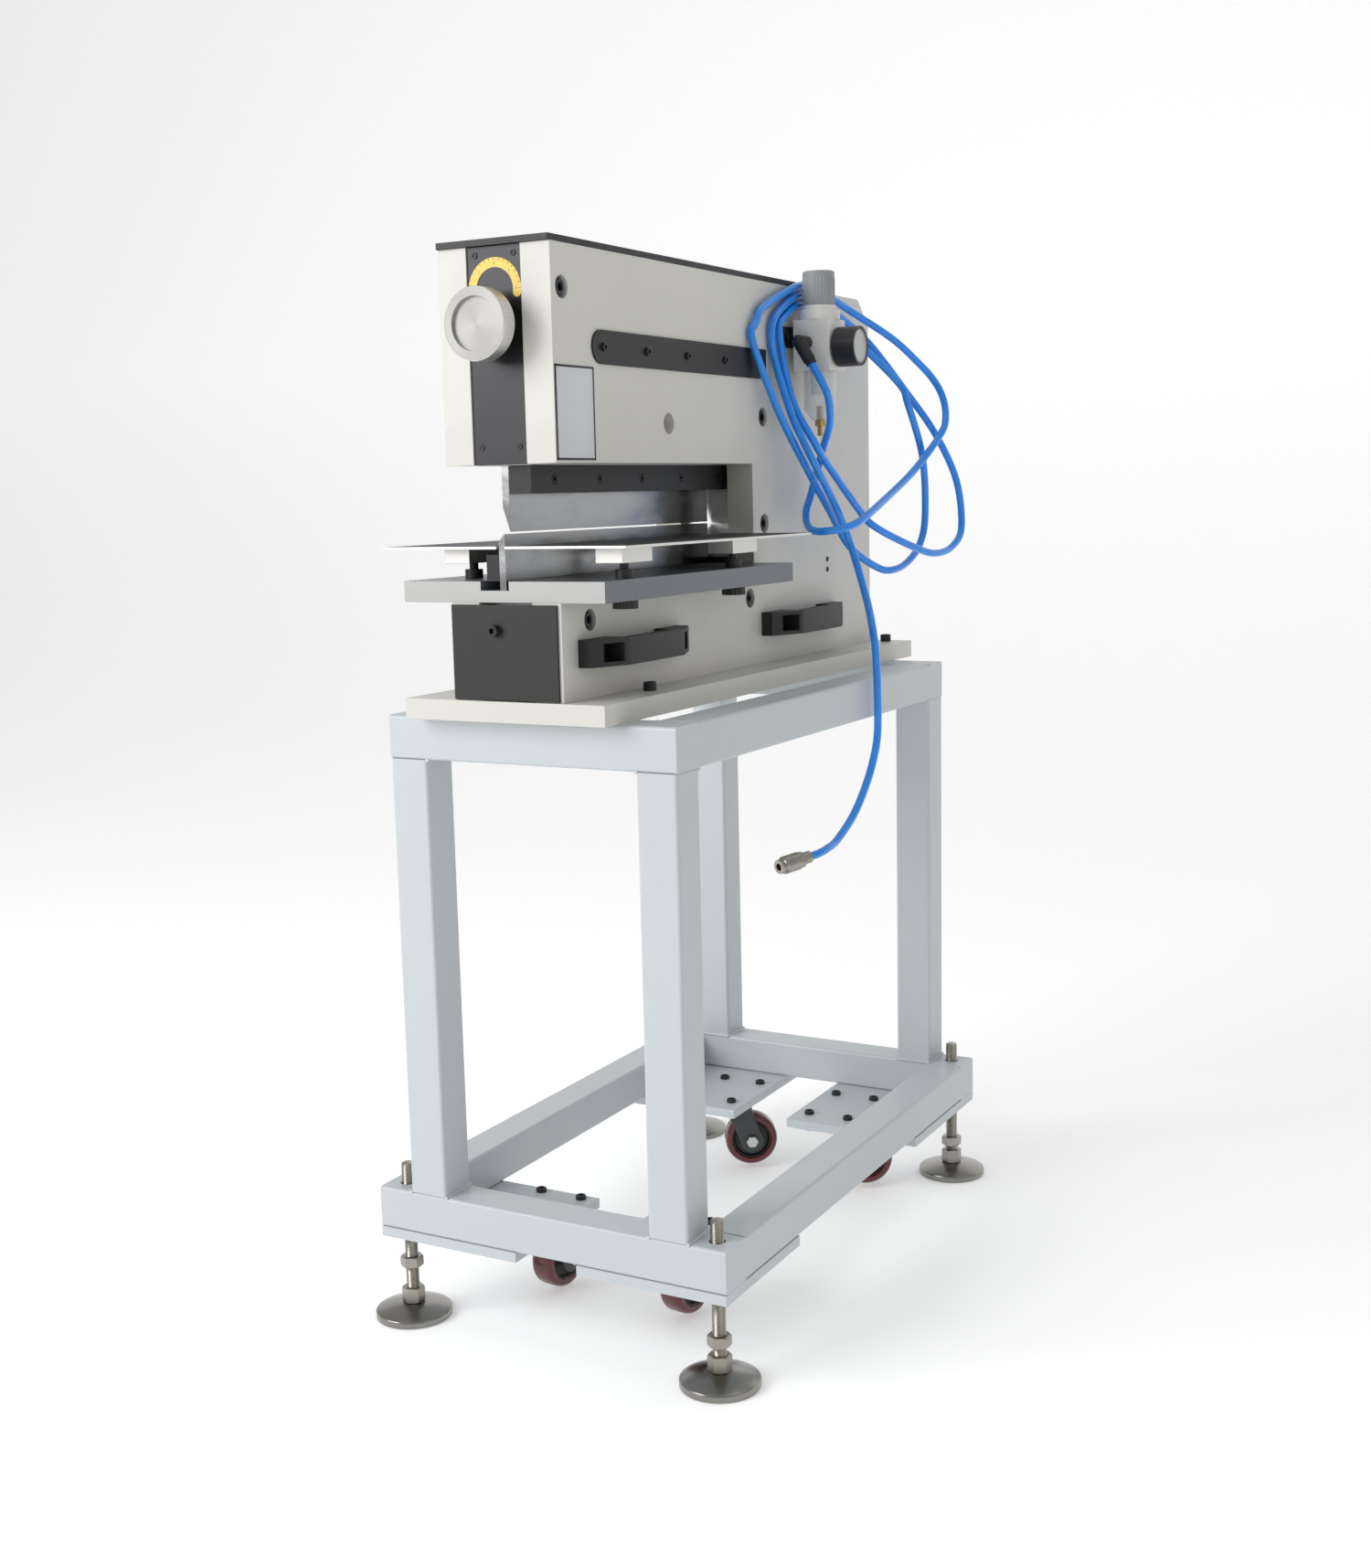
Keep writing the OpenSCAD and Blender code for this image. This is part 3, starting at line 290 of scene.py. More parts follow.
def plated_metal(finish, colour, gloss):
    """Zinc or nickel plating with tarnished clouds."""
    clouds = finish.noise(55.0, 5.0, 0.65)
    tone = finish.mix(clouds, shade(colour, 0.66), shade(colour, 1.15))
    return finish.paint(
        Base_Color=tone,
        Metallic=1.0,
        Roughness=gloss + clouds * 0.16,
        Normal=finish.bump(finish.noise(500.0, 2.0), 0.15, 0.00006),
    )


def turned_metal(finish, colour, gloss, centre, across):
    """Faced on a lathe: fine rings round an axis, and a fan-shaped sheen painted into the colour as a highlight.
    """
    x, y, z = finish.axes(finish.scaled_place((1.0, 1.0, 1.0), centre))
    u, v = {"X": (y, z), "Y": (x, z), "Z": (x, y)}[across]
    radius = (u * u + v * v) ** 0.5
    turn = finish.angle(u, v)
    rings = (radius * (tau / 0.0007)).sine() * 0.5 + 0.5
    # The fan is a painted highlight: a sheen laid into the base colour by the turn round the axis, mixed with
    # random tone below.
    painted_fan_sheen = (turn * 2.0 + 0.7).sine() * 0.5 + 0.5
    painted_sheen_and_tone = painted_fan_sheen * 0.6 + finish.noise(24.0, 3.0) * 0.4
    tone = finish.mix(painted_sheen_and_tone, shade(colour, 0.82), shade(colour, 1.12))
    return finish.paint(
        Base_Color=tone,
        Metallic=1.0,
        Roughness=gloss + rings * 0.08,
        Normal=finish.bump(rings, 0.12, 0.00005),
    )


def blade_steel(finish, colour, gloss):
    """Ground blade steel: near mirror, with oil smears and upright grinding lines."""
    lines = finish.noise(1.0, 3.0, 0.5, finish.scaled_place((900.0, 700.0, 22.0)))
    smears = finish.noise(1.0, 5.0, 0.65, finish.scaled_place((20.0, 9.0, 26.0)))
    tone = finish.mix(smears, shade(colour, 0.45), shade(colour, 1.1))
    return finish.paint(
        Base_Color=tone,
        Metallic=1.0,
        Roughness=gloss + smears.over(0.42, 0.35) * 0.2 + lines * 0.05,
        Normal=finish.bump(lines, 0.1, 0.00004),
    )


def table_top(finish, colour, gloss):
    """Thin table plate: dark hard coat on the faces, bright milled metal on the rim."""
    fleck = finish.noise(700.0, 2.0).over(0.62, 0.08)
    clouds = finish.noise(7.0, 5.0, 0.6)
    tone = finish.mix(clouds, shade(colour, 0.75), shade(colour, 1.25))
    tone = finish.mix(fleck * 0.35, tone, (0.35, 0.37, 0.36))
    return finish.paint(
        Base_Color=tone,
        Metallic=0.55,
        Roughness=gloss + clouds * 0.2,
        Normal=finish.bump(finish.noise(500.0, 3.0), 0.3, 0.0001),
    )


def urethane(finish, colour, gloss):
    """Translucent cast urethane, as on hoses and wheel treads."""
    clouds = finish.noise(40.0, 3.0)
    tone = finish.mix(clouds, shade(colour, 0.86), shade(colour, 1.14))
    return finish.paint(
        Base_Color=tone,
        Roughness=gloss + finish.noise(300.0, 2.0) * 0.08,
        Coat_Weight=0.45,
        Coat_Roughness=0.08,
        Subsurface_Weight=0.12,
        Subsurface_Radius=(0.004, 0.004, 0.006),
    )


def clear_plastic(finish, colour, gloss):
    """Clear polycarbonate, a little clouded."""
    edge = Value(finish, finish.add("ShaderNodeLayerWeight", None, Blend=0.35).outputs["Facing"])
    return finish.paint(
        Base_Color=colour,
        Roughness=gloss,
        Alpha=edge * 0.55 + 0.16 + finish.noise(60.0, 3.0) * 0.06,
        Normal=finish.bump(finish.noise(120.0, 2.0), 0.1, 0.0002),
    )


# ---------------------------------------------------------------- mesh tools


def linked(name, mesh):
    piece = bpy.data.objects.new(name, mesh)
    bpy.context.scene.collection.objects.link(piece)
    return piece


def dressed(piece, body, material=None, stands_for=(), crease=32.0):
    """Gives a piece its finish, its smooth shading and the body that it rides on."""
    mesh = piece.data
    if material is not None:
        mesh.materials.clear()
        mesh.materials.append(material)
    mesh.polygons.foreach_set("use_smooth", [True] * len(mesh.polygons))
    mesh.set_sharp_from_angle(angle=radians(crease))
    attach(piece, body)
    if stands_for:
        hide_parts(*stands_for)
    return piece


def frozen(piece):
    """The piece with its modifiers turned into plain mesh."""
    graph = bpy.context.evaluated_depsgraph_get()
    mesh = bpy.data.meshes.new_from_object(piece.evaluated_get(graph))
    piece.modifiers.clear()
    if piece.type == "MESH":
        piece.data = mesh
        return piece
    name = piece.name
    bpy.data.objects.remove(piece)
    return linked(name, mesh)


def softened(node, width, material, segments=2, crease=32.0):
    """A CAD node with its corners broken by a small round, in place of the sharp one."""
    source = frame["nodes"][node]
    shell = bmesh.new()
    shell.from_mesh(source.data)
    bmesh.ops.remove_doubles(shell, verts=shell.verts, dist=2e-6)
    bmesh.ops.dissolve_limit(shell, angle_limit=radians(0.6), verts=shell.verts, edges=shell.edges)
    corners = [
        edge for edge in shell.edges
        if len(edge.link_faces) == 2 and edge.calc_face_angle(0.0) > radians(28)
    ]
    bmesh.ops.bevel(shell, geom=corners, offset=width, segments=segments, profile=0.5,
                    affect="EDGES", clamp_overlap=True, loop_slide=True)
    mesh = bpy.data.meshes.new(node + "_soft")
    shell.to_mesh(mesh)
    shell.free()
    piece = dressed(linked(node + "_soft", mesh), NODE_BODY[node], material, (node,),
                    crease)
    normals = piece.modifiers.new("Flat faces", "WEIGHTED_NORMAL")
    normals.weight = 100
    normals.keep_sharp = True
    return piece


def recoloured(node, material):
    """Keeps a CAD node and gives it a finish."""
    piece = frame["nodes"][node]
    piece.data.materials.clear()
    piece.data.materials.append(material)
    return piece


def matrix_along(centre, axis):
    """Places a shape made round +Z at a point, turned to an axis."""
    turn = Vector((0, 0, 1)).rotation_difference(Vector(axis)).to_matrix().to_4x4()
    return Matrix.Translation(Vector(centre)) @ turn


def lathe_mesh(name, profile, steps=48, radius_at=None):
    """Closed solid of revolution about +Z through (radius, height) points."""
    mesh = bpy.data.meshes.new(name)
    shape = bmesh.new()
    rings = []
    for radius, height in profile:
        if radius < 1e-7:
            rings.append([shape.verts.new((0, 0, height))])
            continue
        ring = []
        for step in range(steps):
            angle = tau * step / steps
            reach = radius * (radius_at(angle, height) if radius_at else 1.0)
            ring.append(shape.verts.new((reach * cos(angle), reach * sin(angle), height)))
        rings.append(ring)
    for lower, upper in zip(rings, rings[1:]):
        for step in range(steps):
            after = (step + 1) % steps
            if len(lower) == 1 and len(upper) == 1:
                continue
            if len(lower) == 1:
                shape.faces.new((lower[0], upper[after], upper[step]))
            elif len(upper) == 1:
                shape.faces.new((lower[step], lower[after], upper[0]))
            else:
                shape.faces.new((lower[step], lower[after], upper[after], upper[step]))
    for ring in (rings[0], rings[-1]):
        if len(ring) > 1 and rings[0] is not rings[-1] and profile[0] != profile[-1]:
            shape.faces.new(ring)
    bmesh.ops.remove_doubles(shape, verts=shape.verts, dist=1e-7)
    bmesh.ops.recalc_face_normals(shape, faces=shape.faces)
    shape.to_mesh(mesh)
    shape.free()
    return mesh


def turned(name, profile, centre, axis, body, material, stands_for=(), steps=48,
           radius_at=None, crease=32.0):
    """A lathed piece, put in place by its mesh."""
    mesh = lathe_mesh(name, profile, steps, radius_at)
    mesh.transform(matrix_along(centre, axis))
    return dressed(linked(name, mesh), body, material, stands_for, crease)


def add_block(shape, low, high, bevel=0.0, segments=2):
    """Adds a box between two corners to a bmesh, with its edges rounded."""
    size = Vector(high) - Vector(low)
    middle = (Vector(high) + Vector(low)) / 2
    made = bmesh.ops.create_cube(shape, size=1.0)["verts"]
    for vert in made:
        vert.co = Vector(c * s for c, s in zip(vert.co, size)) + middle
    if bevel > 0:
        edges = list({edge for vert in made for edge in vert.link_edges})
        bmesh.ops.bevel(shape, geom=edges, offset=bevel, segments=segments, profile=0.5,
                        affect="EDGES", clamp_overlap=True)


def blocks(name, boxes, bevel, body, material, stands_for=()):
    """One piece of several rounded boxes."""
    shape = bmesh.new()
    for low, high in boxes:
        add_block(shape, low, high, bevel)
    mesh = bpy.data.meshes.new(name)
    shape.to_mesh(mesh)
    shape.free()
    return dressed(linked(name, mesh), body, material, stands_for)


def smooth_route(points, steps=6):
    """Points on one smooth curve through the given ones."""
    points = [Vector(point) for point in points]
    ends = [2 * points[0] - points[1]] + points + [2 * points[-1] - points[-2]]
    route = []
    for i in range(1, len(ends) - 2):
        a, b, c, d = ends[i - 1:i + 3]
        for step in range(steps):
            t = step / steps
            route.append(0.5 * (2 * b + (c - a) * t + (2 * a - 5 * b + 4 * c - d) * t ** 2
                                + (3 * b - a - 3 * c + d) * t ** 3))
    return route + [points[-1]]


def route_length(points):
    return sum((b - a).length for a, b in zip(points, points[1:]))


# ---------------------------------------------------------------- geometry nodes


class Recipe:
    """A Geometry Nodes tree built in code, ending in Realize Instances and Set Material."""

    def __init__(self, name, sizes):
        self.tree = bpy.data.node_groups.new(name, "GeometryNodeTree")
        face = self.tree.interface
        face.new_socket("Geometry", in_out="INPUT", socket_type="NodeSocketGeometry")
        self.sizes = {}
        for label, default in sizes.items():
            kind = "NodeSocketInt" if isinstance(default, int) else "NodeSocketFloat"
            if isinstance(default, bpy.types.Object):
                kind = "NodeSocketObject"
            socket = face.new_socket(label, in_out="INPUT", socket_type=kind)
            if not isinstance(default, bpy.types.Object):
                socket.default_value = default
            self.sizes[label] = (socket.identifier, default)
        face.new_socket("Geometry", in_out="OUTPUT", socket_type="NodeSocketGeometry")
        self.start = self.tree.nodes.new("NodeGroupInput")
        self.end = self.tree.nodes.new("NodeGroupOutput")

    def add(self, kind, settings=None, **inputs):
        node = self.tree.nodes.new(kind)
        for key, value in (settings or {}).items():
            setattr(node, key, value)
        for key, value in inputs.items():
            target = node.inputs[key.replace("_", " ")]
            if isinstance(value, bpy.types.NodeSocket):
                self.tree.links.new(value, target)
            else:
                target.default_value = value
        return node

    def size(self, label):
        return self.start.outputs[label]

    def made(self, piece, geometry, material):
        """Runs the tree on a piece and leaves a plain mesh."""
        real = self.add("GeometryNodeRealizeInstances", None, Geometry=geometry)
        coated = self.add("GeometryNodeSetMaterial", None, Geometry=real.outputs[0], Material=material)
        self.tree.links.new(coated.outputs[0], self.end.inputs[0])
        modifier = piece.modifiers.new("Recipe", "NODES")
        modifier.node_group = self.tree
        for identifier, value in self.sizes.values():
            modifier[identifier] = value
        bpy.context.view_layer.update()
        return frozen(piece)


def socket_screw_mesh(name, head_d, head_h, socket_share=0.5, steps=24):
    """Head of a socket cap screw, its seat on z = 0, with a hexagon socket."""
    shape = bmesh.new()
    edge = min(0.12 * head_h, 0.06 * head_d)
    flat = socket_share * head_d / 2

    def ring(radius, height, hexagon=False):
        verts = []
        for step in range(steps):
            angle = tau * step / steps
            reach = radius
            if hexagon:
                reach = radius / cos((angle + pi / 6) % (pi / 3) - pi / 6)
            verts.append(shape.verts.new((reach * cos(angle), reach * sin(angle), height)))
        return verts

    rings = [
        ring(head_d / 2, 0.0), ring(head_d / 2, head_h - edge), ring(head_d / 2 - edge, head_h),
        ring(flat, head_h, True), ring(flat, 0.4 * head_h, True),
    ]
    for lower, upper in zip(rings, rings[1:]):
        for step in range(steps):
            after = (step + 1) % steps
            shape.faces.new((lower[step], lower[after], upper[after], upper[step]))
    shape.faces.new(rings[-1])
    shape.faces.new(list(reversed(rings[0])))
    mesh = bpy.data.meshes.new(name)
    shape.to_mesh(mesh)
    shape.free()
    return mesh


def screw_row(name, places, head_d, head_h, body, material, stands_for=(), socket_share=0.5):
    """Equal screws on points, each turned to its own axis."""
    seed = bpy.data.meshes.new(name)
    seed.from_pydata([place for place, _ in places], [], [])
    axis = seed.attributes.new("axis", "FLOAT_VECTOR", "POINT")
    for index, (_, direction) in enumerate(places):
        axis.data[index].vector = direction
    piece = linked(name, seed)
    head = linked(name + "_head", socket_screw_mesh(name + "_head", 1.0, head_h / head_d, socket_share))
    recipe = Recipe(name, {"Head": head, "Diameter": head_d})
    info = recipe.add("GeometryNodeObjectInfo", None, Object=recipe.size("Head"))
    stored = recipe.add("GeometryNodeInputNamedAttribute", {"data_type": "FLOAT_VECTOR"}, Name="axis")
    turn = recipe.add("FunctionNodeAlignRotationToVector", {"axis": "Z"},
                      Vector=stored.outputs["Attribute"])
    copies = recipe.add(
        "GeometryNodeInstanceOnPoints", None, Points=recipe.start.outputs[0],
        Instance=info.outputs["Geometry"], Rotation=turn.outputs[0], Scale=recipe.size("Diameter"))
    piece = recipe.made(piece, copies.outputs[0], material)
    bpy.data.objects.remove(head)
    return dressed(piece, body, material, stands_for)


# ---------------------------------------------------------------- settings


def length(name, description, default):
    return FloatProperty(name=name, description=description, default=default, unit="LENGTH", precision=4)


def colour(name, description, default):
    return FloatVectorProperty(name=name, description=description, default=default, size=3,
                               subtype="COLOR", min=0.0, max=1.0)


class SeparatorSizes(bpy.types.PropertyGroup):
    """Sizes of the details that the frame leaves open."""

    plate_round: length("Plate rounding", "Round on the edges of the thick plates", 0.8 * MM)
    fine_round: length("Fine rounding", "Round on the edges of small machined parts", 0.4 * MM)
    weld_width: length("Weld width", "Radius of the weld beads on the stand", 2.4 * MM)
    thread_depth: length("Thread depth", "Depth of the levelling feet's threads", 0.9 * MM)
    hose_diameter: length("Hose diameter", "Outer diameter of the air hose", 10 * MM)
    dial_marks: IntProperty(name="Dial marks", description="Number of ticks on the stroke dial",
                            default=17, min=5, max=41)


class SeparatorColours(bpy.types.PropertyGroup):
    """Colours of the machine's finishes."""

    body_paint: colour("Body paint", "Warm light grey paint of the plates", (0.62, 0.61, 0.565))
    stand_paint: colour("Stand paint", "Cool light grey paint of the stand", (0.52, 0.56, 0.585))
    black: colour("Black", "Black oxide and black plastic", (0.009, 0.009, 0.011))
    hose_blue: colour("Hose", "Blue of the urethane hose", (0.010, 0.27, 0.88))
    tread_red: colour("Tread", "Dark red of the caster treads", (0.10, 0.006, 0.010))
    dial_yellow: colour("Dial", "Yellow of the stroke dial", (0.80, 0.56, 0.06))


def sizes():
    return bpy.context.scene.separator_sizes


def colours():
    return bpy.context.scene.separator_colours


def body_paint():
    return finish_named("body_paint", sprayed_paint, tuple(colours().body_paint), 0.42)


def stand_paint():
    return finish_named("stand_paint", sprayed_paint, tuple(colours().stand_paint), 0.4)


def black_metal():
    return finish_named("black_metal", satin_black, tuple(colours().black), 0.38)


def black_oxide():
    return finish_named("black_oxide", satin_black, (0.02, 0.02, 0.023), 0.42)


def black_plastic():
    return finish_named("black_plastic", moulded_plastic, tuple(colours().black), 0.4)


def bright_steel():
    return finish_named("bright_steel", drawn_metal, (0.62, 0.62, 0.61), 0.34, "X")


def stainless():
    return finish_named("stainless", plated_metal, (0.40, 0.375, 0.33), 0.22)


def zinc():
    return finish_named("zinc", plated_metal, (0.62, 0.63, 0.64), 0.26)


def milled_aluminium():
    return finish_named("milled_aluminium", drawn_metal, (0.80, 0.79, 0.76), 0.42, "Y")


def knife_steel():
    return finish_named("knife_steel", blade_steel, (0.46, 0.47, 0.48), 0.13)


def extent(node):
    """A node's lowest and highest corners."""
    low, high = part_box(node)
    return Vector(low), Vector(high)


def middle(node):
    low, high = extent(node)
    return (low + high) / 2


def two_finishes(piece, second, chosen):
    """Gives a second finish to the faces that a rule picks by centre and normal."""
    mesh = piece.data
    mesh.materials.append(second)
    index = len(mesh.materials) - 1
    for face in mesh.polygons:
        if chosen(face.center, face.normal):
            face.material_index = index
    return piece


# ---------------------------------------------------------------- stage, camera and light


def add_camera():
    """The camera stands at the front right, level with the blades, and looks a little down."""
    turn, dip, roll = radians(28.71), radians(-8.88), radians(-1.31)
    ahead = Vector((-sin(turn) * cos(dip), cos(turn) * cos(dip), sin(dip)))
    side = Vector((cos(turn), sin(turn), 0.0))
    above = side.cross(ahead)
    right = cos(roll) * side + sin(roll) * above
    up = cos(roll) * above - sin(roll) * side
    lens = bpy.data.cameras.new("camera")
    lens.lens = 43.04
    lens.sensor_width = 36.0
    lens.clip_end = 60.0
    camera = bpy.data.objects.new("camera", lens)
    camera.matrix_world = Matrix.Translation((1.1244, -2.082, 0.978)) @ Matrix(
        (right, up, -ahead)).transposed().to_4x4()
    bpy.context.scene.collection.objects.link(camera)
    bpy.context.scene.camera = camera


def add_panel_light(name, place, target, size, power, tint=(1.0, 1.0, 1.0)):
    light = bpy.data.lights.new(name, "AREA")
    light.shape = "RECTANGLE"
    light.size, light.size_y = size
    light.energy = power
    light.color = tint
    lamp = bpy.data.objects.new(name, light)
    aim = (Vector(target) - Vector(place)).to_track_quat("-Z", "Y")
    lamp.matrix_world = Matrix.Translation(place) @ aim.to_matrix().to_4x4()
    bpy.context.scene.collection.objects.link(lamp)


def add_backdrop():
    """A pale floor that curves up into a wall behind the machine."""
    bend, depth, height, half = 1.6, 3.4, 5.0, 9.0
    line = [(-9.0, 0.0), (depth, 0.0)]
    for step in range(1, 25):
        angle = pi / 2 * step / 24
        line.append((depth + bend * sin(angle), bend * (1 - cos(angle))))
    line.append((depth + bend, height))
    mesh = bpy.data.meshes.new("floor")
    points = [(side * half, y, z) for y, z in line for side in (-1, 1)]
    faces = [(2 * i, 2 * i + 1, 2 * i + 3, 2 * i + 2) for i in range(len(line) - 1)]
    mesh.from_pydata(points, [], faces)
    mesh.polygons.foreach_set("use_smooth", [True] * len(mesh.polygons))
    floor = linked("floor", mesh)
    finish = Finish("floor_paper")
    mesh.materials.append(finish.paint(
        Base_Color=(0.95, 0.95, 0.95), Roughness=0.85,
        Emission_Color=(1.0, 1.0, 1.0), Emission_Strength=0.22))


class SEPARATOR_OT_stage(bpy.types.Operator):
    """Set up the pale floor, the soft studio light and the camera"""

    bl_idname = "separator.stage"
    bl_label = "Stage"

    def execute(self, context):
        add_camera()
        add_backdrop()
        middle_of_machine = (0.0, 0.0, 0.75)
        add_panel_light("key_light", (-2.2, -3.4, 2.4), middle_of_machine, (2.6, 2.6), 118.0)
        add_panel_light("fill_light", (3.4, -0.9, 1.8), middle_of_machine, (2.0, 3.0), 3.0)
        add_panel_light("top_light", (0.0, 0.2, 3.6), middle_of_machine, (3.0, 3.0), 14.0)
        world = bpy.data.worlds.new("studio")
        world.use_nodes = True
        background = world.node_tree.nodes["Background"]
        background.inputs["Color"].default_value = (1.0, 1.0, 1.0, 1.0)
        background.inputs["Strength"].default_value = 0.5
        context.scene.world = world
        context.scene.view_settings.view_transform = "Standard"
        return {"FINISHED"}


# ---------------------------------------------------------------- air hose


# How far the stand's front face lies in front of the frame's origin, in millimetres
ORIGIN_Y = 387
# The hose's line from the stand's front face, as in the frame's own source, in millimetres
HOSE_ROUTE = [
    (110, 515, 1133), (122, 514, 1114), (130, 520, 1092), (124, 538, 1060), (104, 558, 1026),
    (92, 566, 998), (88, 556, 970), (90, 536, 948), (100, 518, 932), (116, 504, 924),
    (138, 502, 924), (156, 516, 928), (166, 546, 938), (164, 648, 970), (168, 724, 1002),
    (184, 776, 1048), (184, 794, 1072),
    (176, 804, 1098), (162, 806, 1122), (146, 794, 1144), (120, 758, 1178), (82, 700, 1214),
    (72, 664, 1228), (70, 620, 1236), (70, 564, 1236), (70, 464, 1204), (70, 438, 1182),
    (70, 428, 1158), (86, 468, 1072), (104, 508, 1004), (108, 570, 948), (114, 620, 900),
    (134, 668, 870), (146, 698, 866), (150, 740, 876), (154, 772, 898), (158, 782, 936),
    (160, 768, 1016), (150, 740, 1088), (138, 738, 1116), (98, 704, 1166), (84, 688, 1178),
    (74, 654, 1192), (70, 612, 1206), (70, 564, 1212), (70, 524, 1196), (70, 504, 1174),
    (86, 506, 1090), (116, 506, 1036), (118, 542, 1008), (130, 616, 948), (146, 636, 924),
    (176, 706, 894), (188, 748, 886), (194, 794, 894), (196, 824, 920), (190, 820, 984),
    (166, 802, 1048), (136, 772, 1104), (98, 726, 1172), (76, 672, 1206), (70, 624, 1220),
    (70, 564, 1224), (70, 516, 1206), (70, 488, 1188), (70, 482, 1166), (72, 488, 1136),
    (92, 490, 1072), (108, 488, 1040), (120, 496, 1010), (128, 544, 954), (138, 570, 902),
    (168, 550, 834), (190, 518, 796), (196, 514, 756), (198, 512, 674), (196, 502, 634),
    (194, 476, 598), (192, 442, 568), (190, 398, 546), (190, 370, 541),
    (187, 352, 538), (181, 338, 536),
]


def hose_points():
    """The hose's own line in metres, from the elbow's ring to the coupler."""
    return [Vector((x, y - ORIGIN_Y, z)) * MM for x, y, z in HOSE_ROUTE]


class SEPARATOR_OT_hose(bpy.types.Operator):
    """Sweep the blue air hose along its route, and its coupler"""

    bl_idname = "separator.hose"
    bl_label = "Air hose"

    def execute(self, context):
        blue = finish_named("hose_urethane", urethane, tuple(colours().hose_blue), 0.2)
        route = smooth_route(hose_points())
        curve = bpy.data.curves.new("hose", "CURVE")
        curve.dimensions = "3D"
        curve.bevel_depth = sizes().hose_diameter / 2
        curve.bevel_resolution = 4
        curve.use_fill_caps = True
        spline = curve.splines.new("POLY")
        spline.points.add(len(route) - 1)
        for point, place in zip(spline.points, route):
            point.co = (*place, 1.0)
        curve.materials.append(blue)
        hose = bpy.data.objects.new("hose", curve)
        context.scene.collection.objects.link(hose)
        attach(hose, MAIN_BODY)
        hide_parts("air_hose")
        coupler = self.add_coupler(route[-1], (route[-1] - route[-2]).normalized())
        round(route_length(route), 3)
        return {"FINISHED"}

    @staticmethod
    def add_coupler(end, ahead):
        """Knurled sleeve, hexagon and plug nose, on the hose's last stretch."""
        metal = stainless()
        axis = ahead
        nose = [(r * MM, z * MM) for r, z in (
            (0, 0), (6.5, 0), (7.5, 1), (7.5, 11), (6, 12), (6, 19), (10, 19), (11, 20.5), (11, 41.5),
            (10, 43), (8.2, 44), (8.2, 47), (9, 48), (8.6, 50), (4.5, 50), (4.5, 38), (0, 38))]

        def knurl(angle, height):
            return 1.0 - 0.035 * max(0.0, sin(24 * angle)) if 20.6 * MM < height < 41.4 * MM else 1.0

        body = turned("hose_coupler_sleeve", nose, end, axis, MAIN_BODY, metal,
                      ("hose_coupler",), 96, knurl)
        hexagon = linked("hose_coupler_hexagon", hexagon_mesh("hose_coupler_hexagon", 17 * MM, 9 * MM))
        hexagon.data.transform(matrix_along(end + 11 * MM * axis, axis))
        dressed(hexagon, MAIN_BODY, metal)
        return [body, hexagon]


def hexagon_mesh(name, flats, height, steps=48):
    """Hexagon nut or head with chamfered corners, its lower face on z = 0."""
    chamfer = 0.09 * flats
    inner = flats / 2

    def reach(angle, level):
        hexagon = inner / cos((angle + pi / 6) % (pi / 3) - pi / 6)
        edge = min(level, height - level)
        return min(hexagon, inner * 0.97 + edge * 1.9)

    levels = [0.0, 0.3 * chamfer, 0.6 * chamfer, chamfer, height - chamfer,
              height - 0.6 * chamfer, height - 0.3 * chamfer, height]
    return lathe_mesh(name, [(1.0, level) for level in levels], steps, reach)


# ---------------------------------------------------------------- stand


def weld_lines():
    """Seams of the stand's tubes, as pairs of points."""
    low, high = extent("stand_legs")
    rail_low, rail_high = extent("top_rails")
    tube = rail_high.z - rail_low.z
    seams = []
    for side in (-1, 1):
        for y0 in (low.y, high.y - tube):
            outer = low.x if side < 0 else high.x
            inner = outer - side * tube
            for z in (low.z, high.z):
                seams.append(((inner, y0, z), (inner, y0 + tube, z)))
                inward = y0 + tube if y0 == low.y else y0
                seams.append(((inner, inward, z), (outer, inward, z)))
                if z == low.z:
                    seams.append(((outer, y0, z), (outer, y0 + tube, z)))
    for side in (-1, 1):
        outer = rail_low.x if side < 0 else rail_high.x
        inner = outer - side * tube
        for y in (rail_low.y + tube, rail_high.y - tube):
            seams.append(((inner, y, rail_low.z), (inner, y, rail_high.z)))
    base_low, base_high = extent("base_rails")
    for side in (-1, 1):
        outer = base_low.x if side < 0 else base_high.x
        inner = outer - side * tube
        for y in (base_low.y + tube, base_high.y - tube):
            seams.append(((inner, y, base_low.z), (inner, y, base_high.z)))
    return seams


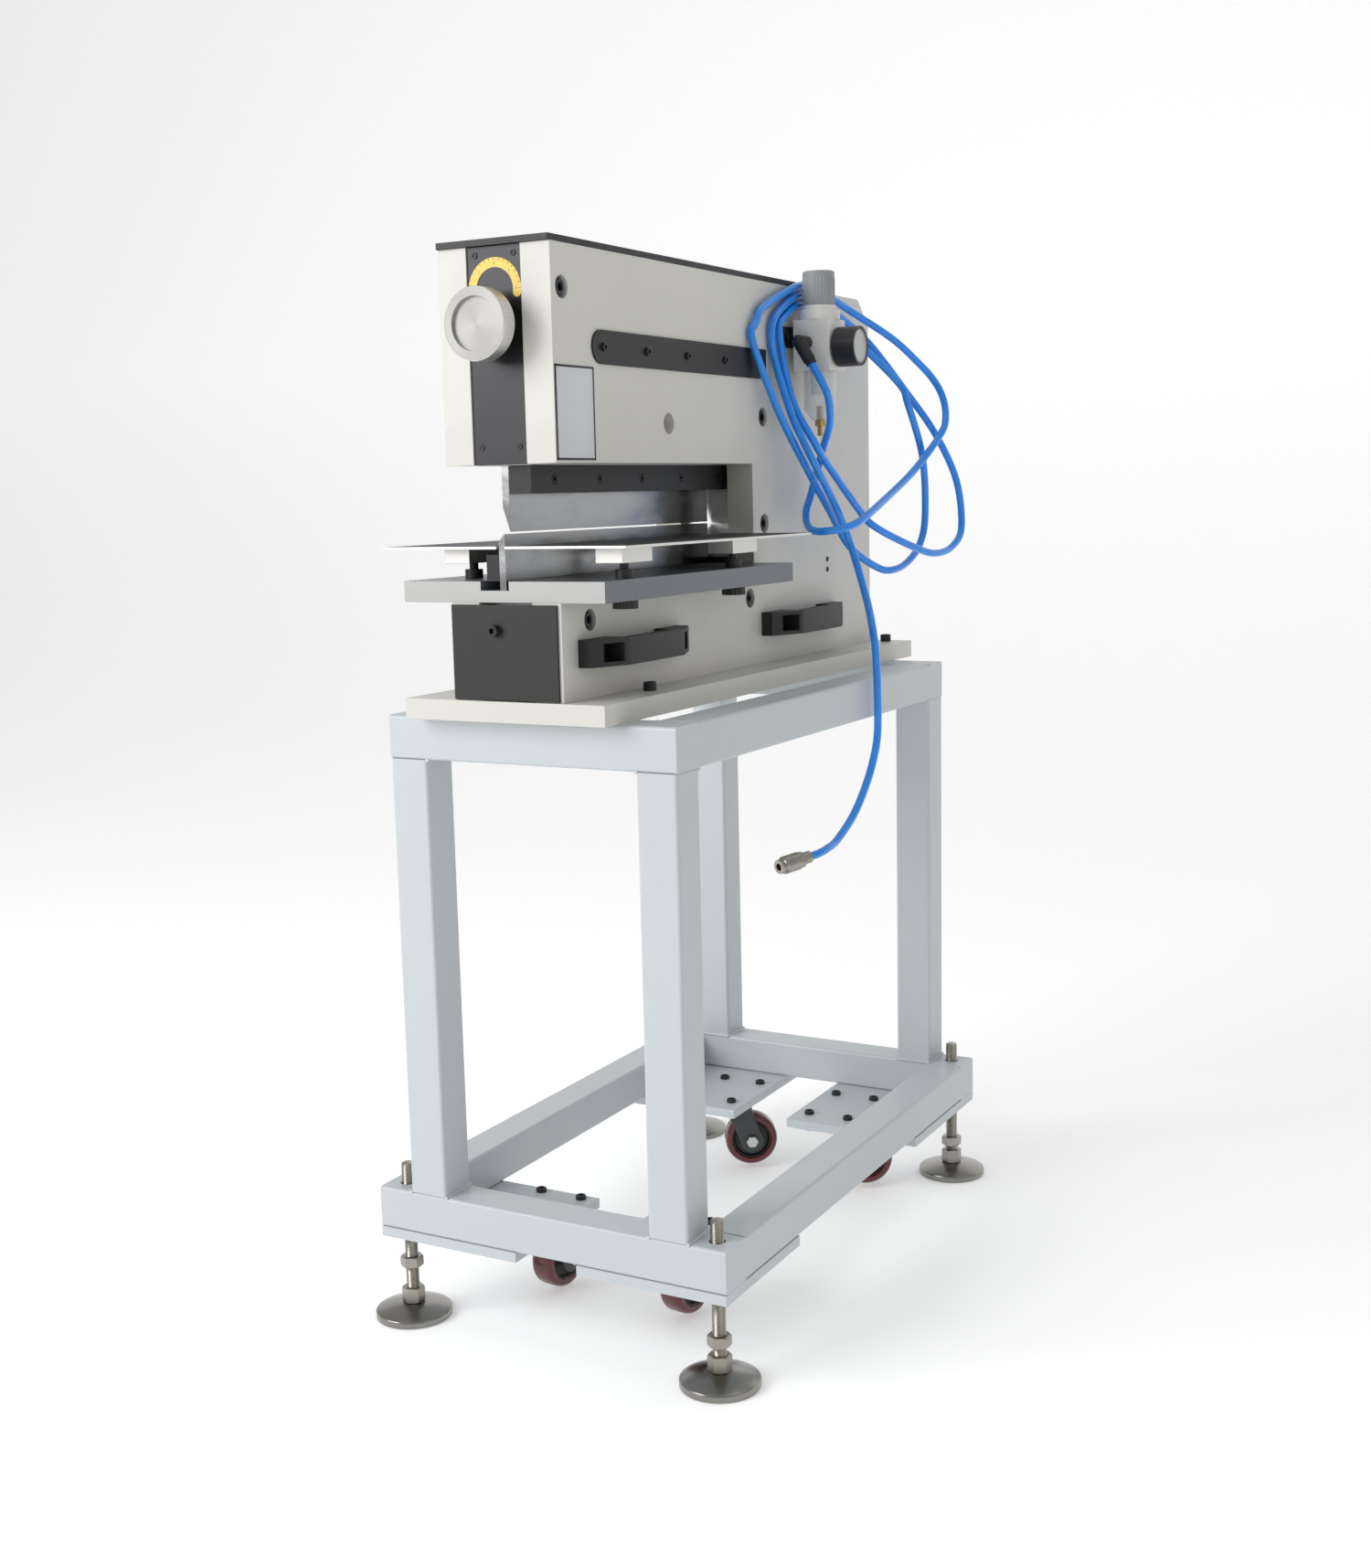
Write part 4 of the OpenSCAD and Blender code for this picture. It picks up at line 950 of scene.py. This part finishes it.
def add_welds():
    """Weld beads under the paint, along the seams."""
    seams = weld_lines()
    mesh = bpy.data.meshes.new("stand_welds")
    points = [point for seam in seams for point in seam]
    mesh.from_pydata(points, [(2 * i, 2 * i + 1) for i in range(len(seams))], [])
    piece = linked("stand_welds", mesh)
    recipe = Recipe("Weld bead", {"Radius": sizes().weld_width, "Step": 0.004, "Ripple": 0.0007})
    line = recipe.add("GeometryNodeMeshToCurve", None, Mesh=recipe.start.outputs[0])
    fine = recipe.add("GeometryNodeResampleCurve", {"mode": "LENGTH"}, Curve=line.outputs[0])
    recipe.tree.links.new(recipe.size("Step"), fine.inputs["Length"])
    noise = recipe.add("ShaderNodeTexNoise", None, Scale=160.0, Detail=1.0)
    centred = recipe.add("ShaderNodeVectorMath", {"operation": "SUBTRACT"})
    recipe.tree.links.new(noise.outputs["Color"], centred.inputs[0])
    centred.inputs[1].default_value = (0.5, 0.5, 0.5)
    shift = recipe.add("ShaderNodeVectorMath", {"operation": "SCALE"}, Scale=recipe.size("Ripple"))
    recipe.tree.links.new(centred.outputs[0], shift.inputs[0])
    moved = recipe.add("GeometryNodeSetPosition", None, Geometry=fine.outputs[0], Offset=shift.outputs[0])
    ring = recipe.add("GeometryNodeCurvePrimitiveCircle", None, Resolution=8, Radius=recipe.size("Radius"))
    bead = recipe.add("GeometryNodeCurveToMesh", {}, Curve=moved.outputs[0],
                      Profile_Curve=ring.outputs[0], Fill_Caps=True)
    piece = recipe.made(piece, bead.outputs[0], stand_paint())
    dressed(piece, MAIN_BODY, stand_paint(), (), 60.0)


class SEPARATOR_OT_stand(bpy.types.Operator):
    """Paint the stand, round its edges and lay its weld beads"""

    bl_idname = "separator.stand"
    bl_label = "Stand"

    def execute(self, context):
        for node in ("stand_legs", "top_rails", "base_rails", "caster_plates"):
            softened(node, sizes().plate_round, stand_paint())
        add_welds()
        return {"FINISHED"}


# ---------------------------------------------------------------- levelling feet


def threaded_rod(name, radius, z0, z1, pitch, depth, steps=20):
    """A true helical thread on a rod about +Z, closed at both ends."""
    mesh = bpy.data.meshes.new(name)
    shape = bmesh.new()
    rows = int((z1 - z0) / pitch * 4)
    grid = []
    for row in range(rows + 1):
        z = z0 + (z1 - z0) * row / rows
        line = []
        for step in range(steps):
            phase = (z / pitch - step / steps) % 1.0
            tooth = abs(2 * phase - 1)
            fade = min(1.0, (z1 - z) / pitch)
            reach = radius - depth * (1 - tooth) - (1 - fade) * depth
            angle = tau * step / steps
            line.append(shape.verts.new((reach * cos(angle), reach * sin(angle), z)))
        grid.append(line)
    for lower, upper in zip(grid, grid[1:]):
        for step in range(steps):
            after = (step + 1) % steps
            shape.faces.new((lower[step], lower[after], upper[after], upper[step]))
    shape.faces.new(grid[-1])
    shape.faces.new(list(reversed(grid[0])))
    shape.to_mesh(mesh)
    shape.free()
    return mesh


FOOT_NUT_FLATS = 24 * MM
# Height of each foot's lock nut above the floor, in millimetres
LOCK_NUT_HEIGHTS = {"fl": 62, "fr": 46, "rl": 48, "rr": 42}


class SEPARATOR_OT_feet(bpy.types.Operator):
    """Turn the foot pads and cut the studs' threads"""

    bl_idname = "separator.feet"
    bl_label = "Levelling feet"

    def execute(self, context):
        for corner in CORNERS:
            self.add_pad(corner)
            self.add_stud(corner)
        return {"FINISHED"}

    @staticmethod
    def add_pad(corner):
        node = "foot_pad_" + corner
        low, high = extent(node)
        centre = Vector(((low.x + high.x) / 2, (low.y + high.y) / 2, 0))
        reach = (high.x - low.x) / 2 / MM
        profile = [(r * MM, z * MM) for r, z in (
            (0, 0), (reach - 1.5, 0), (reach - 0.4, 0.5), (reach, 1.5), (reach, 7.4), (reach - 0.8, 8.8),
            (reach - 2.6, 9.6), (36, 12.2), (26, 15), (19, 16.6), (16, 17), (7.2, 17), (7.2, 8.2), (0, 8.2))]
        steel = finish_named("pad_steel_" + corner, turned_metal, (0.30, 0.29, 0.27), 0.2,
                             tuple(centre), "Z")
        turned(node + "_turned", profile, centre, (0, 0, 1), node, steel, (node,), 96)

    @staticmethod
    def add_stud(corner):
        node = "foot_stud_" + corner
        low, high = extent(node)
        centre = Vector(((low.x + high.x) / 2, (low.y + high.y) / 2, 0))
        steel = stainless()
        rod = linked(node + "_rod", threaded_rod(node + "_rod", 8 * MM, 30 * MM, high.z, 2 * MM,
                                                 sizes().thread_depth))
        rod.data.transform(Matrix.Translation(centre))
        dressed(rod, node, steel, (node,), 50.0)
        nuts = (("hexagon", 17.1, 19), ("lock_nut", LOCK_NUT_HEIGHTS[corner], 13))
        for part, z, height in nuts:
            name = "%s_%s" % (node, part)
            piece = linked(name, hexagon_mesh(name, FOOT_NUT_FLATS, height * MM))
            piece.data.transform(Matrix.Translation(centre + Vector((0, 0, z * MM))))
            dressed(piece, node, steel)


# ---------------------------------------------------------------- casters


class SEPARATOR_OT_casters(bpy.types.Operator):
    """Finish the swivel casters, with their treads, cores, covers and bolts"""

    bl_idname = "separator.casters"
    bl_label = "Casters"

    def execute(self, context):
        softened("caster_heads", sizes().fine_round, zinc())
        self.add_plate_bolts()
        for corner in CORNERS:
            softened("caster_fork_" + corner, sizes().fine_round,
                     finish_named("fork_black", satin_black, (0.05, 0.052, 0.055), 0.3))
            self.add_wheel(corner)
            self.add_fork_trim(corner)
        return {"FINISHED"}

    @staticmethod
    def add_wheel(corner):
        node = "caster_wheel_" + corner
        joint = JOINTS["caster_%s_roll" % corner]
        centre, axle = Vector(joint["pos_m"]), Vector(joint["axis"])
        low, high = extent(node)
        outer = (high.z - low.z) / 2 / MM
        half = 15
        tread = [(r * MM, z * MM) for r, z in (
            (outer - 9, -half), (outer - 4, -half), (outer - 1.8, -half + 1.4), (outer - 0.6, -half + 3.6),
            (outer, -half + 7), (outer, half - 7), (outer - 0.6, half - 3.6), (outer - 1.8, half - 1.4),
            (outer - 4, half), (outer - 9, half), (outer - 10.5, half - 2), (outer - 10.5, -half + 2),
            (outer - 9, -half))]
        red = finish_named("tread_urethane", urethane, tuple(colours().tread_red), 0.28)
        turned(node + "_tread", tread, centre, axle, node, red, (node,), 80)

        core = [(r * MM, z * MM) for r, z in (
            (5.2, -17), (10, -17), (11, -16), (11, -11), (15, -9), (outer - 14, -9), (outer - 12, -12.5),
            (outer - 10.4, -12.8), (outer - 10.4, 12.8), (outer - 12, 12.5), (outer - 14, 9), (15, 9),
            (11, 11), (11, 16), (10, 17), (5.2, 17), (5.2, -17))]
        turned(node + "_core", core, centre, axle, node, black_plastic(), (), 64)

    @staticmethod
    def add_fork_trim(corner):
        """Axle bolt ends and the crown's dome."""
        node = "caster_fork_" + corner
        roll, swivel = JOINTS["caster_%s_roll" % corner], JOINTS["caster_%s_swivel" % corner]
        centre, axle = Vector(roll["pos_m"]), Vector(roll["axis"])
        for side in (-1, 1):
            name = "%s_axle_%s" % (node, "left" if side < 0 else "right")
            piece = linked(name, hexagon_mesh(name, 15 * MM, 5.5 * MM))
            piece.data.transform(matrix_along(centre + side * 21 * MM * axle, side * axle))
            dressed(piece, node, zinc())
        low, _ = extent("caster_heads")
        pivot = Vector(swivel["pos_m"])
        pivot.z = low.z
        dome = [(r * MM, z * MM) for r, z in (
            (0, -0.4), (22, -0.4), (23.2, -1), (23.4, -2.2), (23, -4.6), (21, -6.2), (0, -6.2))]
        turned(node + "_crown", list(reversed(dome)), pivot, (0, 0, 1), node, zinc(), (), 64)

    @staticmethod
    def add_plate_bolts():
        """Button heads on the plates and nuts under them."""
        plate_top = extent("caster_plates")[1].z
        heads, nuts = [], []
        for corner in CORNERS:
            swivel = JOINTS["caster_%s_swivel" % corner]["pos_m"]
            for dx in (-29, 29):
                for dy in (-46, 46):
                    heads.append(((swivel[0] + dx * MM, swivel[1] + dy * MM, plate_top), (0, 0, 1)))
                    nuts.append(((swivel[0] + dx * MM, swivel[1] + dy * MM, plate_top - 16 * MM), (0, 0, -1)))
        screw_row("caster_bolt_heads", heads, 13 * MM, 5 * MM, MAIN_BODY, black_oxide(),
                  ("caster_bolts",), 0.55)
        screw_row("caster_bolt_nuts", nuts, 14 * MM, 7 * MM, MAIN_BODY, zinc(), (), 0.5)


# ---------------------------------------------------------------- body


BODY_SCREWS = ((0, 1190), (468, 1068), (468, 935), (424, 843), (37, 843))


def body_faces():
    """Outer x of the left and the right side plate."""
    return extent("left_side_plate")[0].x, extent("right_side_plate")[1].x


def on_plates(places, lift=0.0):
    """Screw places on both side plates from (y, z) in millimetres behind the stand's front."""
    left, right = body_faces()
    result = []
    for y, z in places:
        result.append(((left - lift, (y - ORIGIN_Y) * MM, z * MM), (-1, 0, 0)))
        result.append(((right + lift, (y - ORIGIN_Y) * MM, z * MM), (1, 0, 0)))
    return result


class SEPARATOR_OT_body(bpy.types.Operator):
    """Paint the body's plates, round their edges and set their screws"""

    bl_idname = "separator.body"
    bl_label = "Body"

    def execute(self, context):
        for node in ("base_plate", "left_side_plate", "right_side_plate"):
            softened(node, sizes().plate_round, body_paint())
        softened("top_cap", sizes().fine_round, black_metal())
        softened("guide_bars", sizes().fine_round, black_metal())
        softened("lower_front_cover", sizes().fine_round,
                 finish_named("cover_black", satin_black, (0.016, 0.016, 0.015), 0.4))
        softened("upper_front_plate", sizes().fine_round,
                 finish_named("front_plate_grey", drawn_metal, (0.05, 0.05, 0.053), 0.34, "Z"))
        softened("spacer_blocks", sizes().fine_round, bright_steel())
        self.add_screws()
        self.add_cap_screws()
        return {"FINISHED"}

    @staticmethod
    def add_screws():
        black = black_oxide()
        screw_row("body_cap_screws", on_plates(BODY_SCREWS, -14 * MM), 18 * MM, 12 * MM, MAIN_BODY,
                  black, ("body_screws",))
        bar_screws = [(78 + 95 * i, 1133) for i in range(5)]
        screw_row("guide_bar_screws", on_plates(bar_screws, 2 * MM), 9 * MM, 3 * MM, MAIN_BODY, black,
                  ())
        plate = extent("base_plate")[1]
        centre = middle("base_plate")
        feet = [((centre.x + side * 99 * MM, (y - ORIGIN_Y) * MM, plate.z), (0, 0, 1))
                for side in (-1, 1) for y in (123, 810)]
        screw_row("base_plate_screws", feet, 15 * MM, 10 * MM, MAIN_BODY, black, ())
        cover = extent("lower_front_cover")
        face = [((-19 * MM, cover[0].y, 834.5 * MM), (0, -1, 0))]
        screw_row("front_cover_screw", face, 13 * MM, 8 * MM, MAIN_BODY, black, ())

    @staticmethod
    def add_cap_screws():
        """Flat heads on the top cap, the front plate and the sides' small set screws."""
        cap_low, cap_high = extent("top_cap")
        heads = [((x, cap_low.y + (20 + 104 * i) * MM, cap_high.z - 0.6 * MM), (0, 0, 1))
                 for x in (cap_low.x + 18 * MM, cap_high.x - 18 * MM) for i in range(7)]
        plate_low, plate_high = extent("upper_front_plate")
        centre = (plate_low.x + plate_high.x) / 2
        heads += [((centre + side * 24 * MM, plate_low.y, z * MM), (0, -1, 0))
                  for side in (-1, 1) for z in (1028, 1226)]
        _, right = body_faces()
        heads += [((right, (660 - ORIGIN_Y) * MM, z * MM), (1, 0, 0)) for z in (868, 882)]
        screw_row("flat_screws", heads, 7 * MM, 1.0 * MM, MAIN_BODY, black_oxide(), (), 0.45)


# ---------------------------------------------------------------- labels and dial


def flat_text(name, words, size, place, facing):
    """Raised figures as a thin mesh; facing is 'front' or 'right'."""
    text = bpy.data.curves.new(name, "FONT")
    text.body = words
    text.size = size
    text.align_x = "CENTER"
    text.align_y = "CENTER"
    text.extrude = 0.06 * MM
    piece = bpy.data.objects.new(name, text)
    bpy.context.scene.collection.objects.link(piece)
    bpy.context.view_layer.update()
    piece = frozen(piece)
    turn = Matrix.Rotation(pi / 2, 4, "X")
    if facing == "right":
        turn = Matrix.Rotation(pi / 2, 4, "Z") @ turn
    piece.data.transform(Matrix.Translation(place) @ turn)
    return piece


class SEPARATOR_OT_dial(bpy.types.Operator):
    """Lay the yellow stroke dial and the blank rating plate"""

    bl_idname = "separator.dial"
    bl_label = "Dial and plate"

    def execute(self, context):
        self.add_band()
        self.add_plate()
        return {"FINISHED"}

    @staticmethod
    def add_band():
        plate_low, plate_high = extent("upper_front_plate")
        centre = Vector(((plate_low.x + plate_high.x) / 2, plate_low.y, 1190 * MM))
        outer, width, thick = 33 * MM, 10 * MM, 0.5 * MM
        shape = bmesh.new()
        start, stop = radians(-8), radians(188)
        turns = [start + (stop - start) * step / 48 for step in range(49)]
        end_round = width / 2

        def rounded_end(turn, first):
            """Points of the band's half-round end, from one rim to the other."""
            middle_x, middle_z = (outer - end_round) * cos(turn), (outer - end_round) * sin(turn)
            angles = [first + pi * step / 12 for step in range(1, 12)]
            return [(middle_x + end_round * cos(a), middle_z + end_round * sin(a)) for a in angles]

        points = [(outer * cos(a), outer * sin(a)) for a in turns]
        points += rounded_end(stop, stop)
        points += [((outer - width) * cos(a), (outer - width) * sin(a)) for a in reversed(turns)]
        points += rounded_end(start, start + pi)
        verts = [shape.verts.new((centre.x + x, centre.y, centre.z + z)) for x, z in points]
        face = shape.faces.new(verts)
        bmesh.ops.triangulate(shape, faces=[face])
        pushed = bmesh.ops.extrude_face_region(shape, geom=shape.faces[:])
        for item in pushed["geom"]:
            if isinstance(item, bmesh.types.BMVert):
                item.co.y -= thick
        bmesh.ops.recalc_face_normals(shape, faces=shape.faces)
        mesh = bpy.data.meshes.new("dial_band")
        shape.to_mesh(mesh)
        shape.free()
        yellow = finish_named("dial_enamel", sprayed_paint, tuple(colours().dial_yellow), 0.35)
        dressed(linked("dial_band", mesh), MAIN_BODY, yellow, ("labels",))
        SEPARATOR_OT_dial.add_marks(centre - Vector((0, thick, 0)), outer, width)

    @staticmethod
    def add_marks(centre, outer, width):
        """Ticks round the dial by instances, and plain figures on every fourth."""
        marks = sizes().dial_marks
        places, turns = [], []
        for i in range(marks):
            angle = pi * (1 - i / (marks - 1))
            places.append(centre + Vector((cos(angle), 0, sin(angle))) * (outer - 1.6 * MM))
            turns.append((cos(angle), 0.0, sin(angle)))
        seed = bpy.data.meshes.new("dial_ticks")
        seed.from_pydata(places, [], [])
        axis = seed.attributes.new("axis", "FLOAT_VECTOR", "POINT")
        for index, direction in enumerate(turns):
            axis.data[index].vector = direction
        piece = linked("dial_ticks", seed)
        recipe = Recipe("Dial ticks", {"Length": 2.2 * MM, "Width": 0.45 * MM})
        size = recipe.add("ShaderNodeCombineXYZ", None, X=recipe.size("Width"), Y=recipe.size("Width"),
                          Z=recipe.size("Length"))
        tick = recipe.add("GeometryNodeMeshCube", None, Size=size.outputs[0])
        stored = recipe.add("GeometryNodeInputNamedAttribute", {"data_type": "FLOAT_VECTOR"}, Name="axis")
        turn = recipe.add("FunctionNodeAlignRotationToVector", {"axis": "Z"},
                          Vector=stored.outputs["Attribute"])
        copies = recipe.add("GeometryNodeInstanceOnPoints", None, Points=recipe.start.outputs[0],
                            Instance=tick.outputs["Mesh"], Rotation=turn.outputs[0])
        piece = recipe.made(piece, copies.outputs[0], black_plastic())
        dressed(piece, MAIN_BODY, black_plastic())
        for i in range(0, marks, 4):
            angle = pi * (1 - i / (marks - 1))
            place = centre + Vector((cos(angle), 0, sin(angle))) * (outer - 0.64 * width)
            figure = flat_text("dial_figure_%d" % i, str(i // 2), 3.6 * MM, place, "front")
            dressed(figure, MAIN_BODY, black_plastic())

    @staticmethod
    def add_plate():
        """A blank plate with a dark border where the machine carries its sign."""
        _, right = body_faces()
        low = Vector((right, (-19 - ORIGIN_Y) * MM, 1013 * MM))
        high = Vector((right + 0.7 * MM, (58 - ORIGIN_Y) * MM, 1111 * MM))
        pale = finish_named("plate_enamel", sprayed_paint, (0.62, 0.63, 0.67), 0.3)
        blocks("rating_plate", [(low, high)], 0.2 * MM, MAIN_BODY, pale)
        rim, thick = 2.2 * MM, Vector((0.3 * MM, 0, 0))
        bars = [
            ((low.x, low.y, low.z), (high.x, high.y, low.z + rim)),
            ((low.x, low.y, high.z - rim), (high.x, high.y, high.z)),
            ((low.x, low.y, low.z), (high.x, low.y + rim, high.z)),
            ((low.x, high.y - rim, low.z), (high.x, high.y, high.z)),
        ]
        bars = [(Vector(a), Vector(b) + thick) for a, b in bars]
        blocks("rating_plate_border", bars, 0.1 * MM, MAIN_BODY, black_plastic())


# ---------------------------------------------------------------- handles, blades and tables


class SEPARATOR_OT_handles(bpy.types.Operator):
    """Round and blacken the carry handles"""

    bl_idname = "separator.handles"
    bl_label = "Carry handles"

    def execute(self, context):
        softened("carry_handles", 1.6 * MM, black_plastic(), 3)
        return {"FINISHED"}


class SEPARATOR_OT_blades(bpy.types.Operator):
    """Finish the blades, their holder and clamp, and the drive above them"""

    bl_idname = "separator.blades"
    bl_label = "Blades and drive"

    def execute(self, context):
        for node in ("upper_blade", "lower_blade"):
            softened(node, 0.15 * MM, knife_steel(), 1)
        for node in ("blade_holder", "lower_blade_clamp"):
            softened(node, sizes().fine_round, black_metal())
        for node in ("blade_beam", "wedge"):
            softened(node, sizes().fine_round, bright_steel())
        for node in ("piston_rod", "air_cylinder"):
            recoloured(node, bright_steel())
        return {"FINISHED"}


class SEPARATOR_OT_tables(bpy.types.Operator):
    """Finish the tables, the platform and the height jacks"""

    bl_idname = "separator.tables"
    bl_label = "Tables"

    def execute(self, context):
        slate = finish_named("slate_paint", sprayed_paint, (0.13, 0.145, 0.165), 0.36)
        lit_front_finish = finish_named("ground_end", drawn_metal, (0.42, 0.42, 0.41), 0.5, "X")
        # Painted light in part: the face that looks to the front, where the key light falls, gets a brighter
        # ground finish, and the sides and top keep the dark slate paint, so the lit front and the shaded sides are
        # partly laid into the colours.
        two_finishes(softened("platform", sizes().fine_round, slate), lit_front_finish,
                     lambda _, normal: normal.y < -0.9)
        top_finish = finish_named("table_top", table_top, (0.045, 0.047, 0.047), 0.42)
        for node in ("left_table", "right_table"):
            top = extent(node)[1].z - 0.2 * MM
            two_finishes(softened(node, sizes().fine_round, milled_aluminium()), top_finish,
                         lambda centre, normal, top=top: centre.z > top and normal.z > 0.9)
        for side in ("lf", "lr", "rf", "rr"):
            softened("jack_" + side, sizes().fine_round, black_oxide())
        return {"FINISHED"}


# ---------------------------------------------------------------- stroke knob and air unit


class SEPARATOR_OT_knob(bpy.types.Operator):
    """Finish the stroke knob, with a turned face"""

    bl_idname = "separator.knob"
    bl_label = "Stroke knob"

    def execute(self, context):
        knob = softened("stroke_knob", sizes().fine_round, milled_aluminium())
        low, high = extent("stroke_knob")
        centre = ((low.x + high.x) / 2, low.y, (low.z + high.z) / 2)
        face = finish_named("knob_face", turned_metal, (0.34, 0.335, 0.32), 0.5, centre, "Y")
        two_finishes(knob, face, lambda _, normal: normal.y < -0.9)
        return {"FINISHED"}


class SEPARATOR_OT_air_unit(bpy.types.Operator):
    """Finish the regulator, its knob, filter bowl, gauge and elbow"""

    bl_idname = "separator.air_unit"
    bl_label = "Air unit"

    def execute(self, context):
        softened("regulator_bracket", sizes().fine_round, black_metal())
        pale = finish_named("regulator_cream", moulded_plastic, (0.74, 0.73, 0.68), 0.4)
        softened("regulator_body", 1.2 * MM, pale, 3)
        self.add_knob()
        bowl = finish_named("bowl_clear", clear_plastic, (0.80, 0.84, 0.82), 0.12)
        recoloured("filter_bowl", bowl)
        white = finish_named("element_white", moulded_plastic, (0.80, 0.80, 0.78), 0.6)
        recoloured("filter_element", white)
        brass = finish_named("brass", plated_metal, (0.62, 0.44, 0.17), 0.3)
        softened("drain_valve", 0.3 * MM, brass)
        self.add_gauge()
        softened("elbow_fitting", 0.5 * MM, black_plastic())
        return {"FINISHED"}

    @staticmethod
    def add_knob():
        """Knob with upright ribs and a plain top rim."""
        node = "regulator_knob"
        low, high = extent(node)
        height = (high.z - low.z) / MM
        reach = (high.x - low.x) / 2 / MM
        centre = Vector(((low.x + high.x) / 2, (low.y + high.y) / 2, low.z))
        profile = [(r * MM, z * MM) for r, z in (
            (0, 0), (reach - 1.5, 0), (reach - 0.7, 0.8), (reach - 0.7, 2), (reach - 0.7, height - 9),
            (reach - 0.7, height - 8), (reach - 0.4, height - 7), (reach - 0.4, height - 1.6),
            (reach - 2, height), (reach - 7, height), (reach - 8, height - 1), (0, height - 1))]

        def rib(angle, level):
            ribbed = 2.5 * MM < level < (height - 8.5) * MM
            return 1.0 + (0.035 * max(0.0, sin(30 * angle)) if ribbed else 0.0)

        levels = []
        for (r0, z0), (r1, z1) in zip(profile, profile[1:]):
            levels.append((r0, z0))
            if z1 - z0 > 10 * MM:
                levels += [(r0, z0 + 0.6 * MM), (r1, z1 - 0.6 * MM)]
        levels.append(profile[-1])
        grey = finish_named("knob_grey", moulded_plastic, (0.30, 0.31, 0.315), 0.42)
        turned(node + "_ribbed", levels, centre, (0, 0, 1), NODE_BODY[node], grey,
               (node,), 180, rib)

    @staticmethod
    def add_gauge():
        """White dial with ticks behind the case's clear rim."""
        case = softened("gauge_case", 0.4 * MM, black_plastic())
        recoloured("gauge_needle", black_plastic())
        low, high = extent("gauge_case")
        needle_low, _ = extent("gauge_needle")
        centre = Vector((needle_low.x - 0.6 * MM, (low.y + high.y) / 2, (low.z + high.z) / 2))
        glass = finish_named("bowl_clear", clear_plastic, (0.80, 0.84, 0.82), 0.12)
        rim = (high.y - low.y) / 2 - 3.5 * MM

        def of_glass(place, _):
            reach = math.hypot(place.y - centre.y, place.z - centre.z)
            return high.x - 3.4 * MM < place.x < high.x - 0.6 * MM and reach < rim

        two_finishes(case, glass, of_glass)
        white = finish_named("gauge_white", moulded_plastic, (0.82, 0.82, 0.80), 0.5)
        dial = [(r * MM, z * MM) for r, z in ((2.2, 0), (20, 0), (20, 0.4), (2.2, 0.4), (2.2, 0))]
        turned("gauge_dial", dial, centre, (1, 0, 0), MAIN_BODY, white, (), 64)
        bars = []
        for i in range(11):
            angle = radians(225 - 27 * i)
            out = Vector((0, cos(angle), sin(angle)))
            middle_of_tick = centre + 17.2 * MM * out + Vector((0.5 * MM, 0, 0))
            half = 0.5 * MM
            bars.append((middle_of_tick - Vector((0.1 * MM, half, half)),
                         middle_of_tick + Vector((0.1 * MM, half, half))))
        blocks("gauge_ticks", bars, 0.0, MAIN_BODY, black_plastic())


# ---------------------------------------------------------------- panel and run


class SEPARATOR_PT_panel(bpy.types.Panel):
    """Sizes, colours and the steps of the finish"""

    bl_label = "Board separator"
    bl_idname = "SEPARATOR_PT_panel"
    bl_space_type = "VIEW_3D"
    bl_region_type = "UI"
    bl_category = "Separator"

    def draw(self, context):
        layout = self.layout
        for group in (context.scene.separator_sizes, context.scene.separator_colours):
            box = layout.box()
            for name in group.bl_rna.properties.keys():
                if name not in ("rna_type", "name"):
                    box.prop(group, name)
        for step in STEPS:
            layout.operator(step.bl_idname)


STEPS = (
    SEPARATOR_OT_stage, SEPARATOR_OT_hose, SEPARATOR_OT_stand, SEPARATOR_OT_feet, SEPARATOR_OT_casters,
    SEPARATOR_OT_body, SEPARATOR_OT_dial, SEPARATOR_OT_handles, SEPARATOR_OT_blades,
    SEPARATOR_OT_tables, SEPARATOR_OT_knob, SEPARATOR_OT_air_unit,
)
CLASSES = (SeparatorSizes, SeparatorColours) + STEPS + (SEPARATOR_PT_panel,)


def register():
    for item in CLASSES:
        bpy.utils.register_class(item)
    bpy.types.Scene.separator_sizes = PointerProperty(type=SeparatorSizes)
    bpy.types.Scene.separator_colours = PointerProperty(type=SeparatorColours)


def unregister():
    del bpy.types.Scene.separator_colours
    del bpy.types.Scene.separator_sizes
    for item in reversed(CLASSES):
        bpy.utils.unregister_class(item)


def main():
    register()
    for step in STEPS:
        group, name = step.bl_idname.split(".")
        getattr(getattr(bpy.ops, group), name)()


if __name__ == "__main__":
    main()
